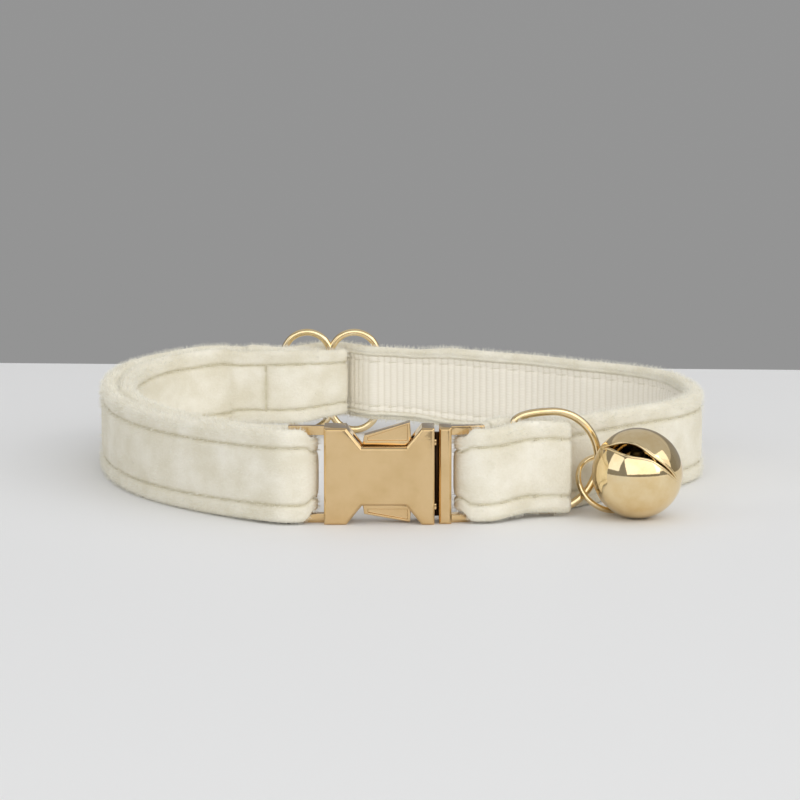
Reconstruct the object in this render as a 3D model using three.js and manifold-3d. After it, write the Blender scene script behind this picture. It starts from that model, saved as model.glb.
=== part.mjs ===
import * as THREE from 'three';
import { mergeVertices } from 'three/addons/utils/BufferGeometryUtils.js';
import Module from 'manifold-3d';

// A fastened pet collar standing on its edge, in millimetres: +Z up, +X to the right of the
// buckle, +Y away from it across the neck hollow. The origin is the middle of the footprint.

// Strap: a velvet channel folded round a ribbed webbing, one strip from end to end
const STRAP_WIDTH = 12.6;
const WEBBING_WIDTH = 10;
const WEBBING_THICKNESS = 0.9;
const VELVET_WALL = 1;
const CLEARANCE = 0.3;
const WEAVE_PINCH = 0.9;
const SLIDE_SQUEEZE = 0.8;
const PINCH_LENGTH = 3.2;
const PINCH_START = 1;
const EDGE_ROUNDING = 0.6;

// Loop: outer layer of the strap seen from above
const LOOP_WIDTH = 86;
const LOOP_DEPTH = 82;
const LIFT_SPREAD = 38;
const BUCKLE_LIFT_SPREAD = 12;
const LAYERS_MEET = 10;
const LEFT_STEPS = 40;
const RIGHT_STEPS = 42;
const WRAP_STEPS = 8;
const WEAVE_STEPS = 3;

// Side release buckle
const BUCKLE_HEIGHT = 13.2;
const BUCKLE_DEPTH = 5.4;
const SOCKET_WIDTH = 14.9;
const SOCKET_OFFSET = 2.8;
const SOCKET_PLATE = 1.2;
const NOTCH_TOP_WIDTH = 10.2;
const NOTCH_FLOOR_WIDTH = 6;
const NOTCH_DEPTH = 2.6;
const POST_WIDTH = 1.7;
const FRAME_ARM_HEIGHT = 1.2;
const FRAME_ARM_DEPTH = 1.5;
const BAR_THICKNESS = 1.5;
const BAR_SIDES = 10;
const SOCKET_BAR_REACH = 4.1;
const PLUG_BAR_REACH = 3.7;
const PLUG_GAP = 0.6;
const PLUG_BLOCK = 1.7;
const PLUG_DEPTH = 4.2;
const FRAME_SWEEP = 12;
const LEVER_HEAD = 6.4;
const LEVER_DEPTH = 2.2;
const LEVER_STEM = 0.8;
const LEVER_RIM = 0.35;
const LEVER_PROUD = 0.6;
const LEVER_INSET = 1.6;
const LEVER_LEAN = 0.2;
const LEVER_TIP_RISE = 0.55;

// Adjuster slide: two tall rings that share their middle bar
const SLIDE_HEIGHT = 16.6;
const SLIDE_PITCH = 7.4;
const SLIDE_WIRE = 1.1;
const SLIDE_PLACE = { across: -10.9, away: 78.4 };
const SLIDE_SEAM_TO_BAR = 14.5;
const SEAM_RAMP = 8;
const SQUEEZE_HELD = 11;
const SQUEEZE_GONE = 16.3;
const WEAVE_HELD = 14.8;
const WEAVE_GONE = 22.2;

// D ring, its link and the bell
const RING_HEIGHT = 14.8;
const RING_REACH = 12.8;
const RING_WIRE = 1.1;
const RING_ANGLE_FROM_STRAP = -30.7;
const RING_BAR_SHARE = 0.74;
const RING_LIFT_SHARE = 0.7;
const RING_FROM_PLUG_BAR = 7.5;
const STRAP_PAST_RING = 2.9;
const TAB_PAST_RING = 4.8;
const BEND_EASE = 0.6;
const BELL_DIAMETER = 12.4;
const BELL_WALL = 0.7;
const BELL_SLIT_WIDTH = 2;
const BELL_SLIT_HALF_ANGLE = 67;
const BELL_HEADING = -56;
const BELL_YAW = -16;
const BELL_TILT = 54;
const BELL_ROLL = -24.8;
const BELL_LOOP_RADIUS = 1.35;
const BELL_LOOP_WIRE = 0.7;
const BELL_LOOP_TURN = 90;
const PELLET_DIAMETER = 3;
const JUMP_RING_RADIUS = 4.2;
const JUMP_RING_WIRE = 0.8;
const JUMP_RING_SLACK = 0.2;
const WIRE_ROUNDING = 0.28;
const WIRE_CURVE_STEPS = 12;
const TORUS_SIDES = 6;
const JUMP_RING_STEPS = 16;
const JUMP_RING_FROM_LOOP = { azimuth: 171.1, elevation: 25.3 };
const JUMP_RING_FACING = { azimuth: -78, elevation: 36.9 };

const wasm = await Module();
wasm.setup();

const rad = THREE.MathUtils.degToRad;
const quarter = Math.PI / 2;
const strapThickness = WEBBING_THICKNESS + CLEARANCE + VELVET_WALL;
const layerPitch = strapThickness + CLEARANCE;
const barWrap = BAR_THICKNESS / 2 + CLEARANCE + strapThickness / 2;

// The outer layer between the buckle and the adjuster, as shares of the loop's half width and depth
const LEFT_SIDE = [
  { across: -0.565, away: 0.057 },
  { across: -0.793, away: 0.202 },
  { across: -0.93, away: 0.359 },
  { across: -0.998, away: 0.537 },
  { across: -0.995, away: 0.69 },
  { across: -0.958, away: 0.78 },
  { across: -0.872, away: 0.86 },
  { across: -0.79, away: 0.908 },
  { across: -0.693, away: 0.943 },
  { across: -0.6, away: 0.958 },
];
const RIGHT_SIDE = [
  { across: 0.1, away: 0.92 },
  { across: 0.342, away: 0.877 },
  { across: 0.502, away: 0.851 },
  { across: 0.64, away: 0.811 },
  { across: 0.763, away: 0.78 },
  { across: 0.852, away: 0.746 },
  { across: 0.937, away: 0.69 },
  { across: 0.985, away: 0.595 },
  { across: 1, away: 0.5 },
  { across: 0.983, away: 0.42 },
  { across: 0.886, away: 0.326 },
  { across: 0.697, away: 0.227 },
  { across: 0.493, away: 0.095 },
];

// Shapes and solids

function closedSolid(geometry) {
  const bare = geometry.clone();
  bare.deleteAttribute('normal');
  bare.deleteAttribute('uv');
  const merged = mergeVertices(bare, 1e-4);
  return new wasm.Manifold(new wasm.Mesh({
    numProp: 3,
    vertProperties: new Float32Array(merged.attributes.position.array),
    triVerts: new Uint32Array(merged.index.array),
  }));
}

function fromSolid(solid) {
  const mesh = solid.getMesh();
  const geometry = new THREE.BufferGeometry();
  geometry.setAttribute('position', new THREE.BufferAttribute(mesh.vertProperties, 3));
  geometry.setIndex(new THREE.BufferAttribute(mesh.triVerts, 1));
  return geometry;
}

function namedMesh(name, geometry, material) {
  const mesh = new THREE.Mesh(geometry, material);
  mesh.name = name;
  return mesh;
}

// A front view outline given thickness along Y, centred on Y = 0
function standingPlate(shape, depth, bevel = 0) {
  const geometry = new THREE.ExtrudeGeometry(shape, {
    depth: depth - 2 * bevel,
    bevelEnabled: bevel > 0,
    bevelSize: bevel,
    bevelOffset: -bevel,
    bevelThickness: bevel,
    bevelSegments: 1,
    curveSegments: WIRE_CURVE_STEPS,
  });
  geometry.translate(0, 0, bevel - depth / 2);
  geometry.rotateX(quarter);
  return geometry;
}

function polygon(points) {
  return new THREE.Shape(points.map(([x, y]) => new THREE.Vector2(x, y)));
}

function block(x0, x1, y0, y1, z0, z1) {
  const geometry = new THREE.BoxGeometry(x1 - x0, y1 - y0, z1 - z0);
  geometry.translate((x0 + x1) / 2, (y0 + y1) / 2, (z0 + z1) / 2);
  return geometry;
}

// Places that the strap and the metal share

const socketRight = SOCKET_WIDTH / 2 - SOCKET_OFFSET;
const socketLeft = socketRight - SOCKET_WIDTH;
const plugLeft = socketRight + PLUG_GAP;
const plugRight = plugLeft + PLUG_BLOCK;
const sweepDirection = new THREE.Vector2(Math.cos(rad(FRAME_SWEEP)), Math.sin(rad(FRAME_SWEEP)));
const socketBar = new THREE.Vector2(socketLeft - SOCKET_BAR_REACH, 0);
const plugBar = new THREE.Vector2(plugRight, 0).addScaledVector(sweepDirection, PLUG_BAR_REACH);
const slideAt = new THREE.Vector2(SLIDE_PLACE.across, SLIDE_PLACE.away);

const slotPinch = (BUCKLE_HEIGHT - 2 * FRAME_ARM_HEIGHT - 2 * CLEARANCE) / STRAP_WIDTH;
const squeezed = strapThickness * SLIDE_SQUEEZE;
const squeezedPitch = squeezed + CLEARANCE;
const middleWrap = SLIDE_WIRE / 2 + CLEARANCE + squeezed / 2;
const overWrap = middleWrap + squeezedPitch;
const underBar = middleWrap;
const weaveAngle = Math.asin((overWrap + underBar) / SLIDE_PITCH);

// Route of the strap: stations with a place, a heading and the distance run so far

function arc(centre, radius, fromAngle, toAngle, clockwise) {
  return new THREE.EllipseCurve(centre.x, centre.y, radius, radius, fromAngle, toAngle, clockwise, 0);
}

function stationsAlong(curve, count, skipFirst = false) {
  const stations = [];
  for (let i = skipFirst ? 1 : 0; i <= count; i += 1) {
    const point = curve.getPointAt(i / count);
    const heading = curve.getTangentAt(i / count);
    stations.push({ x: point.x, y: point.y, hx: heading.x, hy: heading.y });
  }
  return stations;
}

function spline(points) {
  const flat = points.map((point) => new THREE.Vector3(point.x, point.y, 0));
  return new THREE.CatmullRomCurve3(flat, false, 'centripetal');
}

function tablePoints(rows) {
  return rows.map((row) => new THREE.Vector2(row.across * LOOP_WIDTH / 2, row.away * LOOP_DEPTH));
}

function measured(stations) {
  let run = 0;
  return stations.map((station, i) => {
    if (i > 0) run += Math.hypot(station.x - stations[i - 1].x, station.y - stations[i - 1].y);
    return { ...station, run };
  });
}

function outerLayer() {
  const leftBar = new THREE.Vector2(slideAt.x - SLIDE_PITCH, slideAt.y);
  const rightBar = new THREE.Vector2(slideAt.x + SLIDE_PITCH, slideAt.y);
  const underLeft = new THREE.Vector2(leftBar.x, leftBar.y - underBar);
  const underRight = new THREE.Vector2(rightBar.x, rightBar.y - underBar);
  const level = new THREE.Vector2(1, 0);
  const socketOut = new THREE.Vector2(socketBar.x, socketBar.y - barWrap);
  const plugOut = new THREE.Vector2(sweepDirection.y, -sweepDirection.x)
    .multiplyScalar(barWrap).add(plugBar);
  const left = spline([
    socketOut,
    socketOut.clone().addScaledVector(level, -BAR_THICKNESS),
    ...tablePoints(LEFT_SIDE),
    underLeft.clone().addScaledVector(level, -SLIDE_WIRE),
    underLeft,
  ]);
  const right = spline([
    underRight,
    underRight.clone().addScaledVector(level, SLIDE_WIRE),
    ...tablePoints(RIGHT_SIDE),
    plugOut.clone().addScaledVector(sweepDirection, BAR_THICKNESS),
    plugOut,
  ]);
  const over = arc(slideAt, overWrap, quarter + weaveAngle, quarter - weaveAngle, true);
  const rise = arc(leftBar, underBar, -quarter, weaveAngle - quarter, false);
  const fall = arc(rightBar, underBar, -quarter - weaveAngle, -quarter, false);
  return measured([
    ...stationsAlong(left, LEFT_STEPS),
    ...stationsAlong(rise, WEAVE_STEPS, true),
    ...stationsAlong(over, WRAP_STEPS),
    ...stationsAlong(fall, WEAVE_STEPS),
    ...stationsAlong(right, RIGHT_STEPS, true),
  ]);
}

// The outer layer's station at any distance along it
function stationAt(run) {
  const next = outer.findIndex((station) => station.run >= run);
  const [before, after] = [outer[next - 1], outer[next]];
  const share = (run - before.run) / (after.run - before.run);
  const mixed = (key) => THREE.MathUtils.lerp(before[key], after[key], share);
  return { x: mixed('x'), y: mixed('y'), hx: mixed('hx'), hy: mixed('hy'), run };
}

function smooth(value, from, to) {
  return THREE.MathUtils.smoothstep(value, Math.min(from, to), Math.max(from, to));
}

// The same run moved towards the neck; a returning layer heads the other way
function movedIn(station, distance, returning) {
  const sign = returning ? -1 : 1;
  return {
    ...station,
    x: station.x + station.hy * distance,
    y: station.y - station.hx * distance,
    hx: sign * station.hx,
    hy: sign * station.hy,
  };
}

function wrapRound(centre, radius, fromAngle, toAngle, run) {
  const clockwise = toAngle < fromAngle;
  return stationsAlong(arc(centre, radius, fromAngle, toAngle, clockwise), WRAP_STEPS)
    .map((station) => ({ ...station, run, wrap: true }));
}

const outer = outerLayer();
const outerEnd = outer[outer.length - 1].run;
const middleIndex = outer.reduce((best, station, i) => (
  Math.abs(station.x - slideAt.x) < Math.abs(outer[best].x - slideAt.x)
    && station.y > slideAt.y ? i : best), Math.floor(outer.length / 2));
const slideRun = outer[middleIndex].run;
const seamRun = slideRun - SLIDE_SEAM_TO_BAR;
const leftBarRun = outer.find((station) => station.x >= slideAt.x - SLIDE_PITCH
  && station.y > slideAt.y - strapThickness * 2).run;
const ringRun = outerEnd - RING_FROM_PLUG_BAR;
const ringStation = stationAt(ringRun);
const ringHold = strapThickness / 2 + CLEARANCE + RING_WIRE / 2;
const ringBar = movedIn(ringStation, ringHold, false);
const ringTurn = Math.atan2(-ringStation.hy, -ringStation.hx) + rad(RING_ANGLE_FROM_STRAP);
const clearOfRing = ringHold / Math.cos(rad(RING_ANGLE_FROM_STRAP));

function squeezeAt(run) {
  const away = Math.abs(run - slideRun);
  return THREE.MathUtils.lerp(SLIDE_SQUEEZE, 1, smooth(away, SQUEEZE_HELD, SQUEEZE_GONE));
}

function pitchAt(run) {
  return strapThickness * squeezeAt(run) + CLEARANCE;
}

function innerOffset(run) {
  const atBuckle = THREE.MathUtils.lerp(2 * barWrap, layerPitch, smooth(run, 0, LAYERS_MEET));
  const tail = smooth(run, seamRun - SEAM_RAMP, seamRun - CLEARANCE);
  return atBuckle + tail * pitchAt(run) + (pitchAt(run) - layerPitch) * tail;
}

// How far inside the outer line the plane of the D ring lies
function ringPlaneOffset(station) {
  const along = new THREE.Vector2(Math.cos(ringTurn), Math.sin(ringTurn));
  const fromBar = new THREE.Vector2(station.x - ringBar.x, station.y - ringBar.y);
  const outward = new THREE.Vector2(-station.hy, station.hx);
  return fromBar.cross(along) / outward.cross(along);
}

function eased(distance) {
  return (distance + Math.hypot(distance, BEND_EASE)) / 2;
}

// The strap's end goes in behind the D ring, and the tab comes out in front of it
function behindRing(station) {
  if (station.run < ringRun - RING_REACH - layerPitch) return station;
  const offset = Math.min(2 * barWrap, eased(ringPlaneOffset(station) + clearOfRing));
  return movedIn(station, offset, false);
}

function inFrontOfRing(station) {
  return movedIn(station, -eased(clearOfRing - ringPlaneOffset(station)), true);
}

// The tab starts where the strap ends, turns round the plug's bar and ends past the D ring
function tabRoute() {
  const sweep = rad(FRAME_SWEEP);
  const startRun = ringRun + STRAP_PAST_RING + CLEARANCE;
  const endRun = ringRun - TAB_PAST_RING;
  const joined = outer.filter((station) => station.run < outerEnd - PINCH_START);
  const back = [stationAt(startRun), ...joined.filter((station) => station.run > startRun)]
    .map((station) => movedIn(station, 2 * barWrap, false));
  const turn = wrapRound(plugBar, barWrap, sweep + quarter, sweep + 3 * quarter, outerEnd);
  const front = [stationAt(endRun), ...joined.filter((station) => station.run > endRun)]
    .reverse().map(inFrontOfRing);
  return [...back, ...turn, ...front];
}

function strapRoute() {
  const leftBar = new THREE.Vector2(slideAt.x - SLIDE_PITCH, slideAt.y);
  const innerUnder = underBar + 2 * squeezedPitch;
  const leave = Math.asin((innerUnder - middleWrap) / SLIDE_PITCH);
  const tail = outer.slice(0, middleIndex).filter((station) => station.run >= seamRun)
    .map((station) => ({ ...movedIn(station, pitchAt(station.run), false), tail: true }));
  const slideWrap = wrapRound(slideAt, middleWrap, quarter, leave - quarter, slideRun);
  const dip = wrapRound(leftBar, innerUnder, leave - quarter, -quarter, leftBarRun)
    .map((station) => ({ ...station, wrap: false }));
  const inner = outer
    .filter((station) => station.run < leftBarRun - PINCH_START && station.run > PINCH_START)
    .reverse().map((station) => movedIn(station, innerOffset(station.run), true));
  const socketWrap = wrapRound(socketBar, barWrap, quarter, -quarter, 0);
  const endRun = ringRun + STRAP_PAST_RING;
  const face = [...outer.slice(1).filter((station) => station.run < endRun), stationAt(endRun)]
    .map(behindRing);
  return [...tail, ...slideWrap, ...dip, ...inner, ...socketWrap, ...face];
}

// Share of the full width left where the strap passes a slot
function widthShare(station) {
  if (station.wrap) return slotPinch;
  const fromSlide = Math.abs(station.run - slideRun);
  if (station.tail) {
    return THREE.MathUtils.lerp(slotPinch, 1, smooth(fromSlide, PINCH_LENGTH, SLIDE_SEAM_TO_BAR));
  }
  const weave = THREE.MathUtils.lerp(WEAVE_PINCH, 1, smooth(fromSlide, WEAVE_HELD, WEAVE_GONE));
  const fromBars = Math.min(station.run, outerEnd - station.run);
  const released = smooth(fromBars, PINCH_START, PINCH_START + PINCH_LENGTH);
  return Math.min(THREE.MathUtils.lerp(slotPinch, 1, released), weave);
}

// Height of the strap's middle: raised to the middle of each metal piece that it passes
function middleHeight(station) {
  const near = (distance, spread) => Math.exp(-((distance / spread) ** 2));
  const low = STRAP_WIDTH / 2;
  const slideLift = (SLIDE_HEIGHT / 2 - low) * near(station.run - slideRun, LIFT_SPREAD);
  const fromBars = Math.min(station.run, outerEnd - station.run);
  const buckleLift = (BUCKLE_HEIGHT / 2 - low) * near(fromBars, BUCKLE_LIFT_SPREAD);
  const ringLift = (RING_HEIGHT / 2 - low) * RING_LIFT_SHARE
    * near(station.run - ringRun, 2 * PINCH_LENGTH);
  return low + slideLift + Math.max(buckleLift, ringLift);
}

// A section with u across the thickness, towards the velvet face, and v up the width
function sweptStrip(section, route) {
  const geometry = new THREE.ExtrudeGeometry(section, {
    depth: route.length - 1, steps: route.length - 1, bevelEnabled: false,
  });
  const place = geometry.attributes.position;
  for (let i = 0; i < place.count; i += 1) {
    const station = route[Math.round(place.getZ(i))];
    const u = place.getX(i) * squeezeAt(station.run);
    const v = place.getY(i) * widthShare(station);
    place.setXY(i, station.x - station.hy * u, station.y + station.hx * u);
    place.setZ(i, middleHeight(station) + v);
  }
  return geometry;
}

function velvetSection() {
  const face = strapThickness / 2;
  const edge = STRAP_WIDTH / 2;
  const hem = WEBBING_WIDTH / 2 + CLEARANCE;
  const floor = face - VELVET_WALL;
  return polygon([
    [-face, -edge + EDGE_ROUNDING / 2], [-face + EDGE_ROUNDING, -edge],
    [face - EDGE_ROUNDING, -edge], [face, -edge + EDGE_ROUNDING],
    [face, edge - EDGE_ROUNDING], [face - EDGE_ROUNDING, edge],
    [-face + EDGE_ROUNDING, edge], [-face, edge - EDGE_ROUNDING / 2],
    [-face, hem], [floor, hem], [floor, -hem], [-face, -hem],
  ]);
}

function tabSection() {
  const face = strapThickness / 2;
  const edge = STRAP_WIDTH / 2;
  return polygon([
    [-face + EDGE_ROUNDING, -edge], [face - EDGE_ROUNDING, -edge],
    [face, -edge + EDGE_ROUNDING], [face, edge - EDGE_ROUNDING],
    [face - EDGE_ROUNDING, edge], [-face + EDGE_ROUNDING, edge],
    [-face, edge - EDGE_ROUNDING], [-face, -edge + EDGE_ROUNDING],
  ]);
}

function webbingSection() {
  const back = -strapThickness / 2;
  const half = WEBBING_WIDTH / 2;
  return polygon([
    [back, -half], [back + WEBBING_THICKNESS, -half],
    [back + WEBBING_THICKNESS, half], [back, half],
  ]);
}

// Buckle

const notchFloorHigh = BUCKLE_HEIGHT - NOTCH_DEPTH;
const notchMiddle = socketRight - POST_WIDTH - NOTCH_TOP_WIDTH / 2;
const frameInner = BUCKLE_HEIGHT / 2 - FRAME_ARM_HEIGHT;

function socketOutline() {
  const top = NOTCH_TOP_WIDTH / 2;
  const floor = NOTCH_FLOOR_WIDTH / 2;
  const upper = [
    [socketRight, BUCKLE_HEIGHT], [notchMiddle + top, BUCKLE_HEIGHT],
    [notchMiddle + floor, notchFloorHigh], [notchMiddle - floor, notchFloorHigh],
    [notchMiddle - top, BUCKLE_HEIGHT], [socketLeft, BUCKLE_HEIGHT],
  ];
  const lower = upper.slice().reverse().map(([x, z]) => [x, BUCKLE_HEIGHT - z]);
  return polygon([...upper, ...lower]);
}

// Two arms and the bar that the strap turns round, growing from x = 0 towards +x
function strapFrame(reach) {
  const barHalf = BAR_THICKNESS / 2;
  const armHalf = FRAME_ARM_DEPTH / 2;
  const arm = closedSolid(block(
    -CLEARANCE, reach + barHalf, -armHalf, armHalf, 0, FRAME_ARM_HEIGHT,
  ));
  const barLength = 2 * frameInner + FRAME_ARM_HEIGHT;
  const bar = new THREE.CylinderGeometry(barHalf, barHalf, barLength, BAR_SIDES);
  bar.rotateX(quarter);
  bar.translate(reach, 0, 0);
  return closedSolid(bar)
    .add(arm.translate([0, 0, frameInner]))
    .add(arm.translate([0, 0, -BUCKLE_HEIGHT / 2]));
}

function buckleSocket() {
  const body = closedSolid(standingPlate(socketOutline(), BUCKLE_DEPTH, EDGE_ROUNDING / 2));
  const inside = BUCKLE_DEPTH / 2 - SOCKET_PLATE;
  const cavity = closedSolid(block(
    notchMiddle - NOTCH_TOP_WIDTH / 2, plugLeft, -inside, inside,
    SOCKET_PLATE, BUCKLE_HEIGHT - SOCKET_PLATE,
  ));
  const frame = strapFrame(SOCKET_BAR_REACH).rotate([0, 0, 180])
    .translate([socketLeft, 0, BUCKLE_HEIGHT / 2]);
  return fromSolid(body.subtract(cavity).add(frame));
}

function bucklePlug() {
  const outline = polygon([
    [plugLeft, 0], [plugRight, 0], [plugRight, BUCKLE_HEIGHT], [plugLeft, BUCKLE_HEIGHT],
  ]);
  const body = closedSolid(standingPlate(outline, PLUG_DEPTH, EDGE_ROUNDING / 2));
  const frame = strapFrame(PLUG_BAR_REACH).rotate([0, 0, FRAME_SWEEP])
    .translate([plugRight, 0, BUCKLE_HEIGHT / 2]);
  return fromSolid(body.add(frame));
}

// A wedge with sunk faces on a stem from the plug; side is 1 for the upper lever, -1 for the lower
function releaseLever(side) {
  const middle = BUCKLE_HEIGHT / 2;
  const stemLow = middle - SOCKET_PLATE - LEVER_STEM - 2 * CLEARANCE;
  const stemHigh = stemLow + LEVER_STEM;
  const proud = side > 0 ? LEVER_PROUD : -CLEARANCE / 2;
  const shoulder = notchMiddle + NOTCH_TOP_WIDTH / 2 - LEVER_INSET;
  const tip = shoulder - LEVER_HEAD;
  const flip = (points) => points.map(([x, z]) => [x, middle + side * z]);
  const wedge = polygon(flip([
    [tip, stemLow], [tip + LEVER_LEAN, stemHigh + LEVER_TIP_RISE],
    [shoulder, middle + proud], [shoulder + LEVER_LEAN, stemLow],
  ]));
  const sunkLow = stemLow + 2 * LEVER_RIM;
  const sunk = polygon(flip([
    [tip + 2 * LEVER_RIM, sunkLow], [tip + 2 * LEVER_RIM, stemHigh + LEVER_RIM],
    [shoulder - LEVER_RIM, middle + proud - LEVER_RIM], [shoulder - LEVER_RIM, sunkLow],
  ]));
  const head = closedSolid(standingPlate(wedge, LEVER_DEPTH));
  const tray = closedSolid(standingPlate(sunk, LEVER_RIM * 2));
  const stemFrom = shoulder - LEVER_STEM;
  const stem = closedSolid(standingPlate(polygon(flip([
    [stemFrom, stemLow], [plugLeft - CLEARANCE, stemLow],
    [plugLeft - CLEARANCE, stemHigh], [stemFrom, stemHigh],
  ])), LEVER_DEPTH - 2 * LEVER_RIM));
  const face = LEVER_DEPTH / 2;
  return fromSolid(head.add(stem)
    .subtract(tray.translate([0, -face, 0])).subtract(tray.translate([0, face, 0])));
}

// Adjuster slide

function stadium(path, centreX, radius, straight) {
  path.absarc(centreX, straight, radius, 0, Math.PI, false);
  path.absarc(centreX, -straight, radius, Math.PI, 2 * Math.PI, false);
  path.closePath();
  return path;
}

function adjusterSlide() {
  const ringRadius = (SLIDE_PITCH + SLIDE_WIRE) / 2;
  const straight = SLIDE_HEIGHT / 2 - ringRadius;
  const centre = SLIDE_PITCH / 2;
  const cusp = Math.acos(centre / ringRadius);
  const shape = new THREE.Shape();
  shape.absarc(centre, straight, ringRadius, 0, Math.PI - cusp, false);
  shape.absarc(-centre, straight, ringRadius, cusp, Math.PI, false);
  shape.absarc(-centre, -straight, ringRadius, Math.PI, 2 * Math.PI - cusp, false);
  shape.absarc(centre, -straight, ringRadius, Math.PI + cusp, 2 * Math.PI, false);
  shape.closePath();
  [-centre, centre].forEach((x) => {
    shape.holes.push(stadium(new THREE.Path(), x, ringRadius - SLIDE_WIRE, straight));
  });
  const geometry = standingPlate(shape, SLIDE_WIRE, SLIDE_WIRE * WIRE_ROUNDING);
  geometry.translate(slideAt.x, slideAt.y, SLIDE_HEIGHT / 2);
  return geometry;
}

// D ring: a straight bar between the strap and the tab, and a bow that comes out past the tab

function ringOutline(path, inset) {
  const bow = RING_HEIGHT / 2;
  const bowCentre = RING_REACH - bow;
  const barHalf = RING_BAR_SHARE * bow - inset / 2;
  const left = -RING_WIRE / 2 + inset;
  path.moveTo(left, -barHalf);
  path.quadraticCurveTo(left, -bow + inset, bowCentre, -bow + inset);
  path.absarc(bowCentre, 0, bow - inset, -quarter, quarter, false);
  path.quadraticCurveTo(left, bow - inset, left, barHalf);
  path.closePath();
  return path;
}

function dRing() {
  const shape = ringOutline(new THREE.Shape(), 0);
  shape.holes.push(ringOutline(new THREE.Path(), RING_WIRE));
  const geometry = standingPlate(shape, RING_WIRE, RING_WIRE * WIRE_ROUNDING);
  geometry.translate(0, 0, RING_HEIGHT / 2);
  return hungOnStrap(geometry);
}

// The ring, the bell and their link are laid out with the ring's bar on the upright axis and its
// bow towards +x, and then set where the strap holds the bar
function hungOnStrap(geometry) {
  geometry.rotateZ(ringTurn);
  geometry.translate(ringBar.x, ringBar.y, 0);
  return geometry;
}

// Bell: a thin shell, slit across the side that faces the viewer, with its loop opposite

const bellRadius = BELL_DIAMETER / 2;
const bellRotation = new THREE.Matrix4().makeRotationZ(rad(BELL_YAW))
  .multiply(new THREE.Matrix4().makeRotationX(rad(BELL_TILT)))
  .multiply(new THREE.Matrix4().makeRotationZ(rad(BELL_ROLL)));
const bellFromRing = bellRadius + RING_WIRE / 2 + 2 * CLEARANCE;
const bowEnd = RING_REACH - RING_WIRE;
const bellAt = new THREE.Vector3(
  bowEnd + bellFromRing * Math.cos(rad(BELL_HEADING)),
  bellFromRing * Math.sin(rad(BELL_HEADING)),
  bellRadius,
);
const loopReach = bellRadius + BELL_LOOP_RADIUS - BELL_LOOP_WIRE / 2;

function bellShell() {
  const outerBall = closedSolid(new THREE.SphereGeometry(bellRadius, 24, 16));
  const innerBall = closedSolid(new THREE.SphereGeometry(bellRadius - BELL_WALL, 20, 12));
  const reach = bellRadius * Math.sin(rad(BELL_SLIT_HALF_ANGLE));
  const low = bellRadius * Math.cos(rad(BELL_SLIT_HALF_ANGLE));
  const slit = standingPlate(polygon([
    [-reach, low], [0, 0], [reach, low], [reach, 2 * bellRadius], [-reach, 2 * bellRadius],
  ]), BELL_SLIT_WIDTH);
  const loop = new THREE.TorusGeometry(
    BELL_LOOP_RADIUS, BELL_LOOP_WIRE / 2, TORUS_SIDES, 2 * TORUS_SIDES,
  );
  loop.rotateY(quarter);
  loop.rotateZ(rad(BELL_LOOP_TURN));
  loop.translate(0, 0, -loopReach);
  const shell = outerBall.add(closedSolid(loop)).subtract(innerBall).subtract(closedSolid(slit));
  const geometry = fromSolid(shell);
  geometry.applyMatrix4(bellRotation);
  geometry.translate(bellAt.x, bellAt.y, bellAt.z);
  return hungOnStrap(geometry);
}

function bellPellet() {
  const geometry = new THREE.SphereGeometry(PELLET_DIAMETER / 2, 12, 8);
  const lowest = bellRadius - BELL_WALL - PELLET_DIAMETER / 2 - CLEARANCE;
  geometry.translate(bellAt.x, bellAt.y, bellAt.z - lowest);
  return hungOnStrap(geometry);
}

function direction({ azimuth, elevation }) {
  const flat = Math.cos(rad(elevation));
  return new THREE.Vector3(
    flat * Math.cos(rad(azimuth)), flat * Math.sin(rad(azimuth)), Math.sin(rad(elevation)),
  );
}

// Links the bell's loop and the bow of the D ring, lying against the back of the bell
function jumpRing() {
  const geometry = new THREE.TorusGeometry(
    JUMP_RING_RADIUS, JUMP_RING_WIRE / 2, TORUS_SIDES, JUMP_RING_STEPS,
  );
  const up = new THREE.Vector3(0, 0, 1);
  const facing = direction(JUMP_RING_FACING);
  geometry.applyQuaternion(new THREE.Quaternion().setFromUnitVectors(up, facing));
  const centre = new THREE.Vector3(0, 0, -loopReach).applyMatrix4(bellRotation).add(bellAt)
    .addScaledVector(direction(JUMP_RING_FROM_LOOP), JUMP_RING_RADIUS + JUMP_RING_SLACK);
  geometry.translate(centre.x, centre.y, centre.z);
  return hungOnStrap(geometry);
}

// Materials and assembly

const velvet = new THREE.MeshStandardMaterial({ color: 0xe9e4d8, roughness: 0.95, metalness: 0 });
const webbing = new THREE.MeshStandardMaterial({ color: 0xe4ddcf, roughness: 0.85, metalness: 0 });
const lightGold = new THREE.MeshStandardMaterial({ color: 0xcbb084, roughness: 0.25, metalness: 1 });
const yellowGold = new THREE.MeshStandardMaterial({ color: 0xd9bd7e, roughness: 0.15, metalness: 1 });
const steel = new THREE.MeshStandardMaterial({ color: 0x9a9a98, roughness: 0.35, metalness: 1 });

const route = strapRoute();
const collar = new THREE.Group();
collar.add(
  namedMesh('velvet_strap', sweptStrip(velvetSection(), route), velvet),
  namedMesh('webbing_strap', sweptStrip(webbingSection(), route), webbing),
  namedMesh('ring_tab', sweptStrip(tabSection(), tabRoute()), velvet),
  namedMesh('buckle_socket', buckleSocket(), lightGold),
  namedMesh('buckle_plug', bucklePlug(), lightGold),
  namedMesh('upper_release_lever', releaseLever(1), lightGold),
  namedMesh('lower_release_lever', releaseLever(-1), lightGold),
  namedMesh('adjuster_slide', adjusterSlide(), yellowGold),
  namedMesh('d_ring', dRing(), yellowGold),
  namedMesh('bell', bellShell(), yellowGold),
  namedMesh('bell_jump_ring', jumpRing(), yellowGold),
  namedMesh('bell_pellet', bellPellet(), steel),
);

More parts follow.
